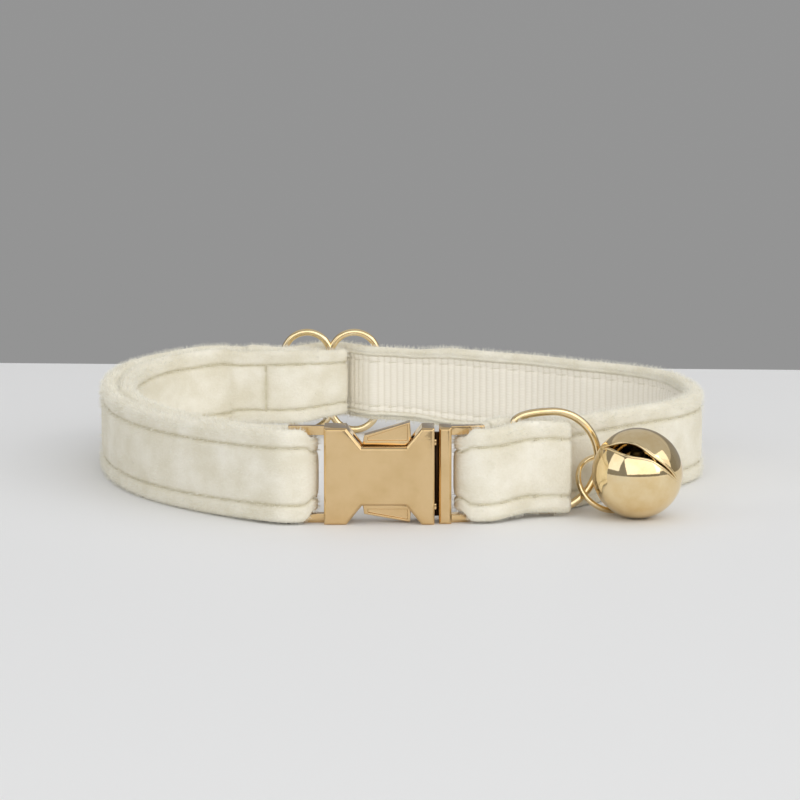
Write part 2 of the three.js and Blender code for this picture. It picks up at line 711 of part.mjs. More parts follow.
const footprint = new THREE.Box3().setFromObject(collar);
const middle = footprint.getCenter(new THREE.Vector3());
collar.position.set(-middle.x, -middle.y, 0);
collar.updateMatrixWorld(true);

export default collar;
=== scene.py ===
"""A fastened cream velvet pet collar with a bell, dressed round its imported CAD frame.

Sizes are in millimetres in the collar's own layout, where the buckle's middle depth is y = 0 and
the surface is z = 0, and turned to metres in the frame's place when a mesh is finished.
"""

import logging
import math
import random
from bisect import bisect_right
from dataclasses import dataclass, field
from enum import Enum

import bmesh
import bpy
from mathutils import Euler, Matrix, Quaternion, Vector

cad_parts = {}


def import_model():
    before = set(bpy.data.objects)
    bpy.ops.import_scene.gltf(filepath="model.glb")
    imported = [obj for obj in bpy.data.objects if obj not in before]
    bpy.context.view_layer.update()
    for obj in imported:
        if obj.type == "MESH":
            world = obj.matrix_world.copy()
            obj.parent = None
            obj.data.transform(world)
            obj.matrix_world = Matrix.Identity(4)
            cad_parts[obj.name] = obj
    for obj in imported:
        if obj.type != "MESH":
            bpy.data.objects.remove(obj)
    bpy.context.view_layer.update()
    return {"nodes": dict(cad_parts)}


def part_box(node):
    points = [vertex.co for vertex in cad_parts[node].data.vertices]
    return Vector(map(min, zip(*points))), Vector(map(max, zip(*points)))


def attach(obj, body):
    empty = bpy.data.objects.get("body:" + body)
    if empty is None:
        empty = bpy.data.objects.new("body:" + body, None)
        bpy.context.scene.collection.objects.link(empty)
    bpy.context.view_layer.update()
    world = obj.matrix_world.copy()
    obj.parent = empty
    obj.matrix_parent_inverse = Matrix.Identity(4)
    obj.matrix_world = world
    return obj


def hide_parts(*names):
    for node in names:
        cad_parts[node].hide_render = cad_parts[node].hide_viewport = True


LOG = logging.getLogger("pet_collar")
MM = 0.001
QUARTER = math.pi / 2


def smooth(value: float, start: float, end: float) -> float:
    """Eases from 0 at start to 1 at end.

    Args:
        value: The place to read.
        start: Where the ease begins.
        end: Where it is complete.

    Returns:
        A share from 0 to 1.
    """
    share = min(1.0, max(0.0, (value - start) / (end - start)))
    return share * share * (3 - 2 * share)


def mix(low: float, high: float, share: float) -> float:
    """Returns the value at a share of the way from low to high."""
    return low + (high - low) * share


def heading(azimuth: float, elevation: float) -> Vector:
    """Returns the unit vector at an azimuth and an elevation in degrees."""
    turn, rise = math.radians(azimuth), math.radians(elevation)
    level = math.cos(rise)
    return Vector((level * math.cos(turn), level * math.sin(turn), math.sin(rise)))


class Layer(Enum):
    """Which stretch of the strap a station is on."""

    PLAIN = "plain"
    WRAP = "wrap"
    TAIL = "tail"


@dataclass
class Station:
    """A place along the strap's middle, its heading, and its distance along the outer layer."""

    x: float
    y: float
    hx: float
    hy: float
    run: float = 0.0
    layer: Layer = Layer.PLAIN


@dataclass
class Section:
    """The strap's frame at one distance along it."""

    place: Vector
    forward: Vector
    face: Vector
    width: float
    squeeze: float


@dataclass
class StrapSizes:
    """The driving sizes of the strap and of the metal it passes, as in the CAD frame.

    Attributes:
        width: The strap's, edge to edge.
        webbing_width: The webbing's own.
        webbing_thickness: The webbing's own.
        velvet_wall: Thickness of the velvet in front of the webbing.
        clearance: Room between pieces that don't touch.
        slot_pinch: Share of its width that the strap keeps in a slot.
        frame_cover: Distance off a buckle frame's plane where the strap starts to widen.
        frame_clear: Distance off that plane where it has its full width.
        weave_pinch: Share of its width that the strap keeps at the adjuster.
        slide_squeeze: Share of its thickness that it keeps there.
        pinch_length: Length over which a slot narrows the strap.
        pinch_start: Length beside a bar that belongs to the turn round it.
        loop_width: The whole loop's, from left to right.
        loop_depth: The whole loop's, from front to back.
        lift_spread: Length over which the adjuster lifts the strap.
        buckle_lift_spread: Length over which the buckle lifts it.
        layers_meet: Length from the socket's bar to where two layers lie together.
        buckle_height: The buckle's.
        bar_thickness: A buckle bar's.
        socket_bar_x: Where the socket's bar stands.
        plug_right: Where the plug's frame starts to turn.
        plug_bar_reach: Distance from there to the plug's bar.
        frame_sweep: Turn of the plug's frame, in degrees.
        slide_x: Where the adjuster stands, from left to right.
        slide_y: Where it stands, from front to back.
        slide_pitch: Distance between its bars.
        slide_wire: Its wire's thickness.
        slide_height: Its own.
        seam_to_bar: Length from the strap's free end to the adjuster's middle bar.
        seam_from_bar: Length from that bar to the seam across the returning layer.
        seam_ramp: Length over which that layer makes room for the free end.
        squeeze_held: How far from the adjuster the squeeze is whole.
        squeeze_gone: How far from it the squeeze is gone.
        weave_held: How far from the adjuster the pinch is whole.
        weave_gone: How far from it the pinch is gone.
        ring_height: The D ring's.
        ring_wire: Its wire's thickness.
        ring_lift_share: Share of the D ring's lift that the strap follows.
        ring_from_bar: Length from the plug's bar to the D ring's.
        ring_reach: Distance from the D ring's bar to the outside of its bow.
        ring_from_strap: Its turn from the strap, in degrees.
        strap_past_ring: Length of the strap past the D ring's bar.
        tab_past_ring: Length of the tab past it.
        tab_seam_from_end: Length from the tab's end to its seam.
        bend_ease: How softly the cloth bends clear of the D ring.
        thread_proud: How far the webbing's stitches stand off the strap's back.
    """

    width: float = 12.6
    webbing_width: float = 10.0
    webbing_thickness: float = 0.9
    velvet_wall: float = 1.0
    clearance: float = 0.3
    slot_pinch: float = 0.8095
    frame_cover: float = 1.2
    frame_clear: float = 1.9
    weave_pinch: float = 0.9
    slide_squeeze: float = 0.8
    pinch_length: float = 3.2
    pinch_start: float = 1.0
    loop_width: float = 86.0
    loop_depth: float = 82.0
    lift_spread: float = 38.0
    buckle_lift_spread: float = 12.0
    layers_meet: float = 10.0
    buckle_height: float = 13.2
    bar_thickness: float = 1.5
    socket_bar_x: float = -14.35
    plug_right: float = 6.95
    plug_bar_reach: float = 3.7
    frame_sweep: float = 12.0
    slide_x: float = -10.9
    slide_y: float = 78.4
    slide_pitch: float = 7.4
    slide_wire: float = 1.1
    slide_height: float = 16.6
    seam_to_bar: float = 14.5
    seam_from_bar: float = 10.8
    seam_ramp: float = 18.0
    squeeze_held: float = 11.0
    squeeze_gone: float = 16.3
    weave_held: float = 14.8
    weave_gone: float = 22.2
    ring_height: float = 14.8
    ring_wire: float = 1.1
    ring_lift_share: float = 0.7
    ring_from_bar: float = 7.5
    ring_reach: float = 12.8
    ring_from_strap: float = -30.7
    strap_past_ring: float = 2.9
    tab_past_ring: float = 4.8
    tab_seam_from_end: float = 1.2
    bend_ease: float = 0.6
    thread_proud: float = 0.1

    @property
    def thickness(self) -> float:
        """The strap's full thickness."""
        return self.webbing_thickness + self.clearance + self.velvet_wall

    @property
    def layer_pitch(self) -> float:
        """Distance between the middles of two layers that lie together."""
        return self.thickness + self.clearance

    @property
    def bar_wrap(self) -> float:
        """Radius of the strap's middle where it turns round a buckle bar."""
        return self.bar_thickness / 2 + self.clearance + self.thickness / 2


LEFT_SIDE = (
    (-0.565, 0.057), (-0.793, 0.202), (-0.93, 0.359), (-0.998, 0.537), (-0.995, 0.69),
    (-0.958, 0.78), (-0.872, 0.86), (-0.79, 0.908), (-0.693, 0.943), (-0.6, 0.958),
)
RIGHT_SIDE = (
    (0.1, 0.92), (0.342, 0.877), (0.502, 0.851), (0.64, 0.811), (0.763, 0.78), (0.852, 0.746),
    (0.937, 0.69), (0.985, 0.595), (1.0, 0.5), (0.983, 0.42), (0.886, 0.326), (0.697, 0.227),
    (0.493, 0.095),
)


@dataclass
class StrapRoute:
    """The line that the middle of the strap, or of its tab, follows from one end to the other.

    Attributes:
        sizes: The driving sizes.
        tab: Whether this is the short tab that holds the D ring and the plug's bar.
        spline_steps: Stations along each side of the loop.
        even_passes: How often the returning layer's line is evened out.
        wrap_steps: Stations round each bar.
    """

    sizes: StrapSizes = field(default_factory=StrapSizes)
    tab: bool = False
    spline_steps: int = 220
    even_passes: int = 16
    wrap_steps: int = 28

    def __post_init__(self) -> None:
        """Works out the outer layer, its marks, and the whole route with its lengths."""
        s = self.sizes
        sweep = math.radians(s.frame_sweep)
        self.sweep = Vector((math.cos(sweep), math.sin(sweep)))
        self.socket_bar = Vector((s.socket_bar_x, 0.0))
        self.plug_bar = Vector((s.plug_right, 0.0)) + self.sweep * s.plug_bar_reach
        self.slide = Vector((s.slide_x, s.slide_y))
        squeezed = s.thickness * s.slide_squeeze
        self.squeezed_pitch = squeezed + s.clearance
        self.middle_wrap = s.slide_wire / 2 + s.clearance + squeezed / 2
        self.outer = self._outer_layer()
        self.outer_end = self.outer[-1].run
        self.ring_run = self.outer_end - s.ring_from_bar
        self.ring_station = self._station_at(self.ring_run)
        hold = (s.thickness + s.ring_wire) / 2 + s.clearance
        self.ring_bar = self._moved_in(self.ring_station, hold, False, Layer.PLAIN)
        self.ring_turn = (math.atan2(-self.ring_station.hy, -self.ring_station.hx)
                          + math.radians(s.ring_from_strap))
        self.clear_of_ring = hold / math.cos(math.radians(s.ring_from_strap))
        self.seam_run = self.slide_run - s.seam_to_bar
        self.stations = self._tab_route() if self.tab else self._whole_route()
        self.lengths = [0.0]
        for before, after in zip(self.stations, self.stations[1:]):
            step = math.hypot(after.x - before.x, after.y - before.y)
            self.lengths.append(self.lengths[-1] + step)

    @property
    def length(self) -> float:
        """The strap's whole length."""
        return self.lengths[-1]

    def _arc(self, centre: Vector, radius: float, start: float, end: float) -> list[Station]:
        """Stations along an arc.

        Args:
            centre: The arc's centre.
            radius: Its radius.
            start: Its first angle, in radians.
            end: Its last angle; below start it turns clockwise.

        Returns:
            The stations, both ends included.
        """
        way = 1 if end > start else -1
        found = []
        for i in range(self.wrap_steps + 1):
            angle = mix(start, end, i / self.wrap_steps)
            c, d = math.cos(angle), math.sin(angle)
            found.append(Station(centre.x + radius * c, centre.y + radius * d, -way * d, way * c))
        return found

    def _spline(self, points: list[Vector]) -> list[Station]:
        """Stations evenly along a centripetal spline.

        Args:
            points: The points that it passes.

        Returns:
            The stations, both ends included.
        """
        ends = [2 * points[0] - points[1], *points, 2 * points[-1] - points[-2]]
        dense: list[Vector] = []
        for p0, p1, p2, p3 in zip(ends, ends[1:], ends[2:], ends[3:]):
            d0, d1, d2 = (math.sqrt((b - a).length) for a, b in ((p0, p1), (p1, p2), (p2, p3)))
            t1 = ((p1 - p0) / d0 - (p2 - p0) / (d0 + d1) + (p2 - p1) / d1) * d1
            t2 = ((p2 - p1) / d1 - (p3 - p1) / (d1 + d2) + (p3 - p2) / d2) * d1
            steps = 24
            for i in range(steps):
                t = i / steps
                dense.append(p1 + t1 * t + (3 * (p2 - p1) - 2 * t1 - t2) * t * t
                             + (2 * (p1 - p2) + t1 + t2) * t ** 3)
        dense.append(points[-1].copy())
        runs = [0.0]
        for a, b in zip(dense, dense[1:]):
            runs.append(runs[-1] + (b - a).length)
        found = []
        for i in range(self.spline_steps + 1):
            run = runs[-1] * i / self.spline_steps
            k = min(len(dense) - 2, bisect_right(runs, run) - 1)
            a, b = dense[k], dense[k + 1]
            place = a.lerp(b, (run - runs[k]) / (runs[k + 1] - runs[k]))
            way = (b - a).normalized()
            found.append(Station(place.x, place.y, way.x, way.y))
        return found

    def _outer_layer(self) -> list[Station]:
        """Returns the outer layer, from the socket's bar over the adjuster to the plug's bar."""
        s = self.sizes
        over = self.middle_wrap + self.squeezed_pitch
        under = self.middle_wrap
        weave = math.asin((over + under) / s.slide_pitch)
        pitch, level = Vector((s.slide_pitch, 0)), Vector((1, 0))
        left_bar, right_bar = self.slide - pitch, self.slide + pitch
        down = Vector((0, -under))
        socket_out = self.socket_bar - Vector((0, s.bar_wrap))
        plug_out = self.plug_bar + Vector((self.sweep.y, -self.sweep.x)) * s.bar_wrap
        half, deep = s.loop_width / 2, s.loop_depth
        left = [socket_out, socket_out - level * s.bar_thickness,
                *(Vector((a * half, b * deep)) for a, b in LEFT_SIDE),
                left_bar + down - level * s.slide_wire, left_bar + down]
        right = [right_bar + down, right_bar + down + level * s.slide_wire,
                 *(Vector((a * half, b * deep)) for a, b in RIGHT_SIDE),
                 plug_out + self.sweep * s.bar_thickness, plug_out]
        crest = self._arc(self.slide, over, QUARTER + weave, QUARTER - weave)
        before = [*self._spline(left), *self._arc(left_bar, under, -QUARTER, weave - QUARTER)[1:]]
        after = [*self._arc(right_bar, under, -QUARTER - weave, -QUARTER),
                 *self._spline(right)[1:]]
        stations = [*before, *crest, *after]
        for a, b in zip(stations, stations[1:]):
            b.run = a.run + math.hypot(b.x - a.x, b.y - a.y)
        self.middle_index = len(before) + len(crest) // 2
        self.slide_run = stations[self.middle_index].run
        self.left_bar_run = self._spline_end(before)
        return stations

    def _spline_end(self, stations: list[Station]) -> float:
        """Returns the run where the left side ends, under the adjuster's left bar."""
        return stations[self.spline_steps].run

    def squeeze_at(self, run: float) -> float:
        """Returns the share of its thickness that the strap keeps near the adjuster."""
        s = self.sizes
        away = abs(run - self.slide_run)
        return mix(s.slide_squeeze, 1, smooth(away, s.squeeze_held, s.squeeze_gone))

    def _inner_offset(self, run: float) -> float:
        """Returns how far inside the outer layer the returning layer runs."""
        s = self.sizes
        pitch = s.thickness * self.squeeze_at(run) + s.clearance
        at_buckle = mix(2 * s.bar_wrap, s.layer_pitch, smooth(run, 0, s.layers_meet))
        tail = smooth(run, self.seam_run - s.seam_ramp, self.seam_run - s.clearance)
        return at_buckle + tail * pitch + (pitch - s.layer_pitch) * tail

    def _station_at(self, run: float) -> Station:
        """Returns the outer layer's place at any run along it."""
        k = next(i for i, p in enumerate(self.outer) if p.run >= run)
        a, b = self.outer[k - 1], self.outer[k]
        t = (run - a.run) / (b.run - a.run)
        return Station(mix(a.x, b.x, t), mix(a.y, b.y, t), mix(a.hx, b.hx, t), mix(a.hy, b.hy, t),
                       run)

    def _ring_plane_offset(self, station: Station) -> float:
        """Returns how far inside the outer line the plane of the D ring lies."""
        along = Vector((math.cos(self.ring_turn), math.sin(self.ring_turn)))
        from_bar = Vector((station.x - self.ring_bar.x, station.y - self.ring_bar.y))
        return from_bar.cross(along) / Vector((-station.hy, station.hx)).cross(along)

    def _eased(self, distance: float) -> float:
        """Returns a distance, or nearly none where it is below none, with a soft bend between."""
        return (distance + math.hypot(distance, self.sizes.bend_ease)) / 2

    def _behind_ring(self, station: Station) -> Station:
        """Returns the strap's place where it goes in behind the D ring."""
        s = self.sizes
        if station.run < self.ring_run - s.ring_reach - s.layer_pitch:
            return station
        offset = self._eased(self._ring_plane_offset(station) + self.clear_of_ring)
        return self._moved_in(station, min(2 * s.bar_wrap, offset), False, Layer.PLAIN)

    def _in_front_of_ring(self, station: Station) -> Station:
        """Returns the tab's place where it comes out in front of the D ring."""
        offset = -self._eased(self.clear_of_ring - self._ring_plane_offset(station))
        return self._moved_in(station, offset, True, Layer.PLAIN)

    def _tab_route(self) -> list[Station]:
        """Returns the tab's stations, from the strap's end round the plug's bar to its own end."""
        s = self.sizes
        sweep = math.radians(s.frame_sweep)
        start = self.ring_run + s.strap_past_ring + s.clearance
        end = self.ring_run - s.tab_past_ring
        joined = [p for p in self.outer if p.run < self.outer_end - s.pinch_start]
        back = [self._station_at(start), *(p for p in joined if p.run > start)]
        front = [self._station_at(end), *(p for p in joined if p.run > end)]
        return [
            *(self._moved_in(p, 2 * s.bar_wrap, False, Layer.PLAIN) for p in back),
            *self._wrap(self.plug_bar, s.bar_wrap, sweep + QUARTER, sweep + 3 * QUARTER,
                        self.outer_end),
            *(self._in_front_of_ring(p) for p in reversed(front)),
        ]

    @staticmethod
    def _moved_in(station: Station, distance: float, back: bool, layer: Layer) -> Station:
        """The same place moved towards the neck.

        Args:
            station: The outer layer's station.
            distance: How far to move it.
            back: Whether the layer there runs the other way.
            layer: What the new station is on.

        Returns:
            The moved station.
        """
        way = -1 if back else 1
        return Station(station.x + station.hy * distance, station.y - station.hx * distance,
                       way * station.hx, way * station.hy, station.run, layer)

    def _wrap(self, centre: Vector, radius: float, start: float, end: float, run: float,
              layer: Layer = Layer.WRAP) -> list[Station]:
        """Returns the stations of the strap's turn round a bar, all at one run."""
        found = self._arc(centre, radius, start, end)
        for station in found:
            station.run, station.layer = run, layer
        return found

    def _whole_route(self) -> list[Station]:
        """Returns the strap's stations, from its end at the adjuster to its end behind the ring."""
        s = self.sizes
        inside = self._moved_in
        left_bar = self.slide - Vector((s.slide_pitch, 0))
        inner_under = self.middle_wrap + 2 * self.squeezed_pitch
        leave = math.asin((inner_under - self.middle_wrap) / s.slide_pitch)
        tail = [inside(p, s.thickness * self.squeeze_at(p.run) + s.clearance, False, Layer.TAIL)
                for p in self.outer[:self.middle_index] if p.run >= self.seam_run]
        inner = [inside(p, self._inner_offset(p.run), True, Layer.PLAIN)
                 for p in reversed(self.outer)
                 if s.pinch_start < p.run < self.left_bar_run - s.pinch_start]
        self._even_out(inner)
        end = self.ring_run + s.strap_past_ring
        face = [*(p for p in self.outer[1:] if p.run < end), self._station_at(end)]
        route = [
            *tail,
            *self._wrap(self.slide, self.middle_wrap, QUARTER, leave - QUARTER, self.slide_run),
            *self._wrap(left_bar, inner_under, leave - QUARTER, -QUARTER, self.left_bar_run,
                        Layer.PLAIN),
            *inner,
            *self._wrap(self.socket_bar, s.bar_wrap, QUARTER, -QUARTER, 0.0),
            *(self._behind_ring(p) for p in face),
        ]
        kept = [route[0]]
        for station in route[1:]:
            if math.hypot(station.x - kept[-1].x, station.y - kept[-1].y) > 0.02:
                kept.append(station)
        return kept

    def _even_out(self, stations: list[Station]) -> None:
        """Rounds off the kinks that moving a line inwards leaves in it."""
        for _ in range(self.even_passes):
            old = [(p.x, p.y) for p in stations]
            for p, a, b, c in zip(stations[1:-1], old, old[1:], old[2:]):
                p.x, p.y = (a[0] + 2 * b[0] + c[0]) / 4, (a[1] + 2 * b[1] + c[1]) / 4
        for a, p, b in zip(stations, stations[1:-1], stations[2:]):
            way = Vector((b.x - a.x, b.y - a.y)).normalized()
            p.hx, p.hy = way.x, way.y

    def _off_frame(self, station: Station) -> float:
        """Returns how far a station lies in front of or behind the plane of a buckle's frame."""
        if station.run == 0.0:
            return abs(station.y - self.socket_bar.y)
        place = Vector((station.x, station.y)) - self.plug_bar
        return abs(place.cross(self.sweep))

    def _width_share(self, station: Station) -> float:
        """Returns the share of the full width left at a station, by slots and adjuster."""
        s = self.sizes
        if station.layer is Layer.WRAP and station.run == self.slide_run:
            return s.slot_pinch
        if station.layer is Layer.WRAP:
            off_frame = self._off_frame(station)
            return mix(s.slot_pinch, 1, smooth(off_frame, s.frame_cover, s.frame_clear))
        from_slide = abs(station.run - self.slide_run)
        if station.layer is Layer.TAIL:
            return mix(s.slot_pinch, 1, smooth(from_slide, s.pinch_length, s.seam_to_bar))
        weave = mix(s.weave_pinch, 1, smooth(from_slide, s.weave_held, s.weave_gone))
        return weave

    def _middle_height(self, station: Station) -> float:
        """Returns the height of the strap's middle, lifted where metal carries it."""
        s = self.sizes

        def near(distance: float, spread: float) -> float:
            """Returns 1 at no distance, falling off over the spread."""
            return math.exp(-((distance / spread) ** 2))

        low = s.width / 2
        slide = (s.slide_height / 2 - low) * near(station.run - self.slide_run, s.lift_spread)
        from_bars = min(station.run, self.outer_end - station.run)
        buckle = (s.buckle_height / 2 - low) * near(from_bars, s.buckle_lift_spread)
        ring = (s.ring_height / 2 - low) * s.ring_lift_share
        ring *= near(station.run - self.ring_run, 2 * s.pinch_length)
        return low + slide + max(buckle, ring)

    def at(self, length: float) -> Section:
        """The strap's frame at a distance along the whole strap.

        Args:
            length: The distance from the free end at the adjuster.

        Returns:
            The section's place, directions, width share and squeeze.
        """
        k = min(len(self.stations) - 2, max(0, bisect_right(self.lengths, length) - 1))
        a, b = self.stations[k], self.stations[k + 1]
        share = (length - self.lengths[k]) / (self.lengths[k + 1] - self.lengths[k])
        way = Vector((mix(a.hx, b.hx, share), mix(a.hy, b.hy, share), 0)).normalized()
        place = Vector((mix(a.x, b.x, share), mix(a.y, b.y, share),
                        mix(self._middle_height(a), self._middle_height(b), share)))
        width = mix(self._width_share(a), self._width_share(b), share)
        squeeze = mix(self.squeeze_at(a.run), self.squeeze_at(b.run), share)
        return Section(place, way, Vector((-way.y, way.x, 0)), width, squeeze)

    def _nearest(self, span: range, run: float) -> float:
        """Returns the whole strap's length at the station of a span that is nearest a run."""
        best = min(span, key=lambda i: abs(self.stations[i].run - run))
        return self.lengths[best]

    def _wraps_at(self, run: float) -> list[int]:
        """Returns the stations that turn round the bar at a run."""
        return [i for i, p in enumerate(self.stations)
                if p.layer is Layer.WRAP and p.run == run]

    def length_inside(self, run: float) -> float:
        """Returns the whole strap's length at a run of the inner, returning layer."""
        first, last = self._wraps_at(self.slide_run)[-1] + 1, self._wraps_at(0.0)[0]
        return self._nearest(range(first, last), run)


def srgb(code: str) -> tuple[float, float, float, float]:
    """Turns an sRGB hex colour to linear.

    Args:
        code: Six hex digits.

    Returns:
        The linear red, green, blue and an alpha of 1.
    """
    parts = [int(code[i:i + 2], 16) / 255 for i in (0, 2, 4)]
    linear = [c / 12.92 if c <= 0.04045 else ((c + 0.055) / 1.055) ** 2.4 for c in parts]
    return (linear[0], linear[1], linear[2], 1.0)


def add_node(tree: bpy.types.NodeTree, kind: str, links: dict | None = None,
             **settings: object) -> bpy.types.Node:
    """Adds a node with its inputs and settings.

    Args:
        tree: The material's node tree.
        kind: The node's type name.
        links: Input name or index to a value, or to the output socket that feeds it.
        **settings: The node's own properties.

    Returns:
        The node.
    """
    node = tree.nodes.new(kind)
    for name, value in settings.items():
        setattr(node, name, value)
    for key, value in (links or {}).items():
        if isinstance(value, bpy.types.NodeSocket):
            tree.links.new(value, node.inputs[key])
        else:
            node.inputs[key].default_value = value
    return node


def new_surface(name: str) -> tuple[bpy.types.Material, bpy.types.NodeTree, bpy.types.Node]:
    """Returns a new material, its tree and its shader."""
    material = bpy.data.materials.new(name)
    material.use_nodes = True
    shader = material.node_tree.nodes["Principled BSDF"]
    return material, material.node_tree, shader


@dataclass(frozen=True)
class VelvetFinish:
    """Polyester velvet with a short dense pile that is brushed and crushed in soft patches.

    The pile scatters light at its tips, so its rims are paler than its face. Along its stitch rows
    the face is painted darker: painted shade in the grooves that the stitches pull in.
    """

    light: str = "F8F3E4"
    shade: str = "E9E2CD"
    # The darker colour painted along the stitch grooves as shade, and how much of it is mixed in.
    groove_shade_colour: str = "B5AA82"
    groove_shade_share: float = 0.42
    pile_mm: float = 0.32
    pile_depth_mm: float = 0.16
    pile_shade: float = 0.22
    crush_mm: float = 5.0
    crush_depth_mm: float = 0.35
    sheen: float = 0.3

    def make(self) -> bpy.types.Material:
        """Returns the velvet material, patterned in millimetres of the strap's own UV map."""
        material, tree, shader = new_surface("cream_velvet_pile")
        uv = add_node(tree, "ShaderNodeUVMap", uv_map="strap_mm").outputs["UV"]
        crush = add_node(tree, "ShaderNodeTexNoise", {
            "Vector": uv, "Scale": 1 / self.crush_mm, "Detail": 3.0, "Roughness": 0.55})
        pile = add_node(tree, "ShaderNodeTexNoise", {
            "Vector": uv, "Scale": 1 / self.pile_mm, "Detail": 4.0, "Roughness": 0.7})
        patch = add_node(tree, "ShaderNodeMapRange", {
            "Value": crush.outputs["Fac"], "From Min": 0.35, "From Max": 0.68})
        tips = add_node(tree, "ShaderNodeMapRange", {
            "Value": pile.outputs["Fac"], "From Min": 0.3, "From Max": 0.7,
            "To Min": -self.pile_shade, "To Max": self.pile_shade})
        depth = add_node(tree, "ShaderNodeMath", {
            0: patch.outputs["Result"], 1: tips.outputs["Result"]}, operation="ADD")
        ramp = add_node(tree, "ShaderNodeValToRGB", {"Fac": depth.outputs[0]})
        ramp.color_ramp.elements[0].color = srgb(self.shade)
        ramp.color_ramp.elements[1].color = srgb(self.light)
        # The stitch rows' pull, stored on the mesh, mixes the face towards the darker colour:
        # painted shade in the stitch grooves.
        groove_shade = add_node(tree, "ShaderNodeAttribute", attribute_name="stitch_groove")
        groove_shade_weight = add_node(tree, "ShaderNodeMath", {
            0: groove_shade.outputs["Fac"], 1: self.groove_shade_share}, operation="MULTIPLY")
        face = add_node(tree, "ShaderNodeMixRGB", {
            "Fac": groove_shade_weight.outputs[0], "Color1": ramp.outputs["Color"],
            "Color2": srgb(self.groove_shade_colour)})
        tree.links.new(face.outputs["Color"], shader.inputs["Base Color"])
        soft = add_node(tree, "ShaderNodeBump", {
            "Height": crush.outputs["Fac"], "Distance": self.crush_depth_mm * MM, "Strength": 0.5})
        nap = add_node(tree, "ShaderNodeBump", {
            "Height": pile.outputs["Fac"], "Distance": self.pile_depth_mm * MM,
            "Strength": 0.75, "Normal": soft.outputs["Normal"]})
        tree.links.new(nap.outputs["Normal"], shader.inputs["Normal"])
        shader.inputs["Roughness"].default_value = 0.95
        shader.inputs["Specular IOR Level"].default_value = 0.15
        shader.inputs["Sheen Weight"].default_value = self.sheen
        shader.inputs["Sheen Roughness"].default_value = 0.45
        shader.inputs["Sheen Tint"].default_value = srgb(self.light)
        return material


@dataclass(frozen=True)
class WebbingFinish:
    """Ribbed polyester webbing: thick filling yarns under fine warp yarns that cross each rib."""

    light: str = "F6F0E2"
    # Painted shade: the colour given to the valleys between ribs and yarns.
    groove_shade: str = "E2DAC6"
    rib_mm: float = 1.05
    yarn_mm: float = 0.43
    fibre_mm: float = 0.14
    relief_mm: float = 0.09

    def make(self) -> bpy.types.Material:
        """Returns the webbing material, its yarns drawn on the strap's own UV map."""
        material, tree, shader = new_surface("cream_ribbed_webbing")
        uv = add_node(tree, "ShaderNodeUVMap", uv_map="strap_mm").outputs["UV"]
        parts = add_node(tree, "ShaderNodeSeparateXYZ", {"Vector": uv})
        rib = self._wave(tree, parts.outputs["X"], self.rib_mm)
        row = add_node(tree, "ShaderNodeMath", {
            0: parts.outputs["X"], 1: 1 / self.rib_mm}, operation="MULTIPLY")
        whole = add_node(tree, "ShaderNodeMath", {0: row.outputs[0]}, operation="FLOOR")
        shift = add_node(tree, "ShaderNodeMath", {
            0: whole.outputs[0], 1: self.yarn_mm / 2, 2: parts.outputs["Y"]},
            operation="MULTIPLY_ADD")
        yarn = self._wave(tree, shift.outputs[0], self.yarn_mm)
        weave = add_node(tree, "ShaderNodeMath", {0: rib, 1: 0.6}, operation="MULTIPLY")
        height = add_node(tree, "ShaderNodeMath", {0: yarn, 1: 0.4, 2: weave.outputs[0]},
                          operation="MULTIPLY_ADD")
        fibre = add_node(tree, "ShaderNodeTexNoise", {
            "Vector": uv, "Scale": 1 / self.fibre_mm, "Detail": 3.0, "Roughness": 0.6})
        rough = add_node(tree, "ShaderNodeMath", {
            0: fibre.outputs["Fac"], 1: 0.25, 2: height.outputs[0]}, operation="MULTIPLY_ADD")
        # Darker where the weave is low: painted shade in its valleys, with the fibre noise adding
        # random tone.
        ramp = add_node(tree, "ShaderNodeValToRGB", {"Fac": rough.outputs[0]})
        ramp.color_ramp.elements[0].position, ramp.color_ramp.elements[1].position = 0.1, 0.75
        ramp.color_ramp.elements[0].color = srgb(self.groove_shade)
        ramp.color_ramp.elements[1].color = srgb(self.light)
        tree.links.new(ramp.outputs["Color"], shader.inputs["Base Color"])
        bump = add_node(tree, "ShaderNodeBump", {
            "Height": rough.outputs[0], "Distance": self.relief_mm * MM, "Strength": 0.7})
        tree.links.new(bump.outputs["Normal"], shader.inputs["Normal"])
        shader.inputs["Roughness"].default_value = 0.8
        shader.inputs["Specular IOR Level"].default_value = 0.25
        shader.inputs["Sheen Weight"].default_value = 0.2
        return material

    @staticmethod
    def _wave(tree: bpy.types.NodeTree, place: bpy.types.NodeSocket,
              pitch: float) -> bpy.types.NodeSocket:
        """Returns a row of round yarns across a coordinate: 1 on each yarn, 0 between two."""
        turn = add_node(tree, "ShaderNodeMath", {0: place, 1: math.pi / pitch},
                        operation="MULTIPLY")
        sine = add_node(tree, "ShaderNodeMath", {0: turn.outputs[0]}, operation="SINE")
        return add_node(tree, "ShaderNodeMath", {0: sine.outputs[0]},
                        operation="ABSOLUTE").outputs[0]


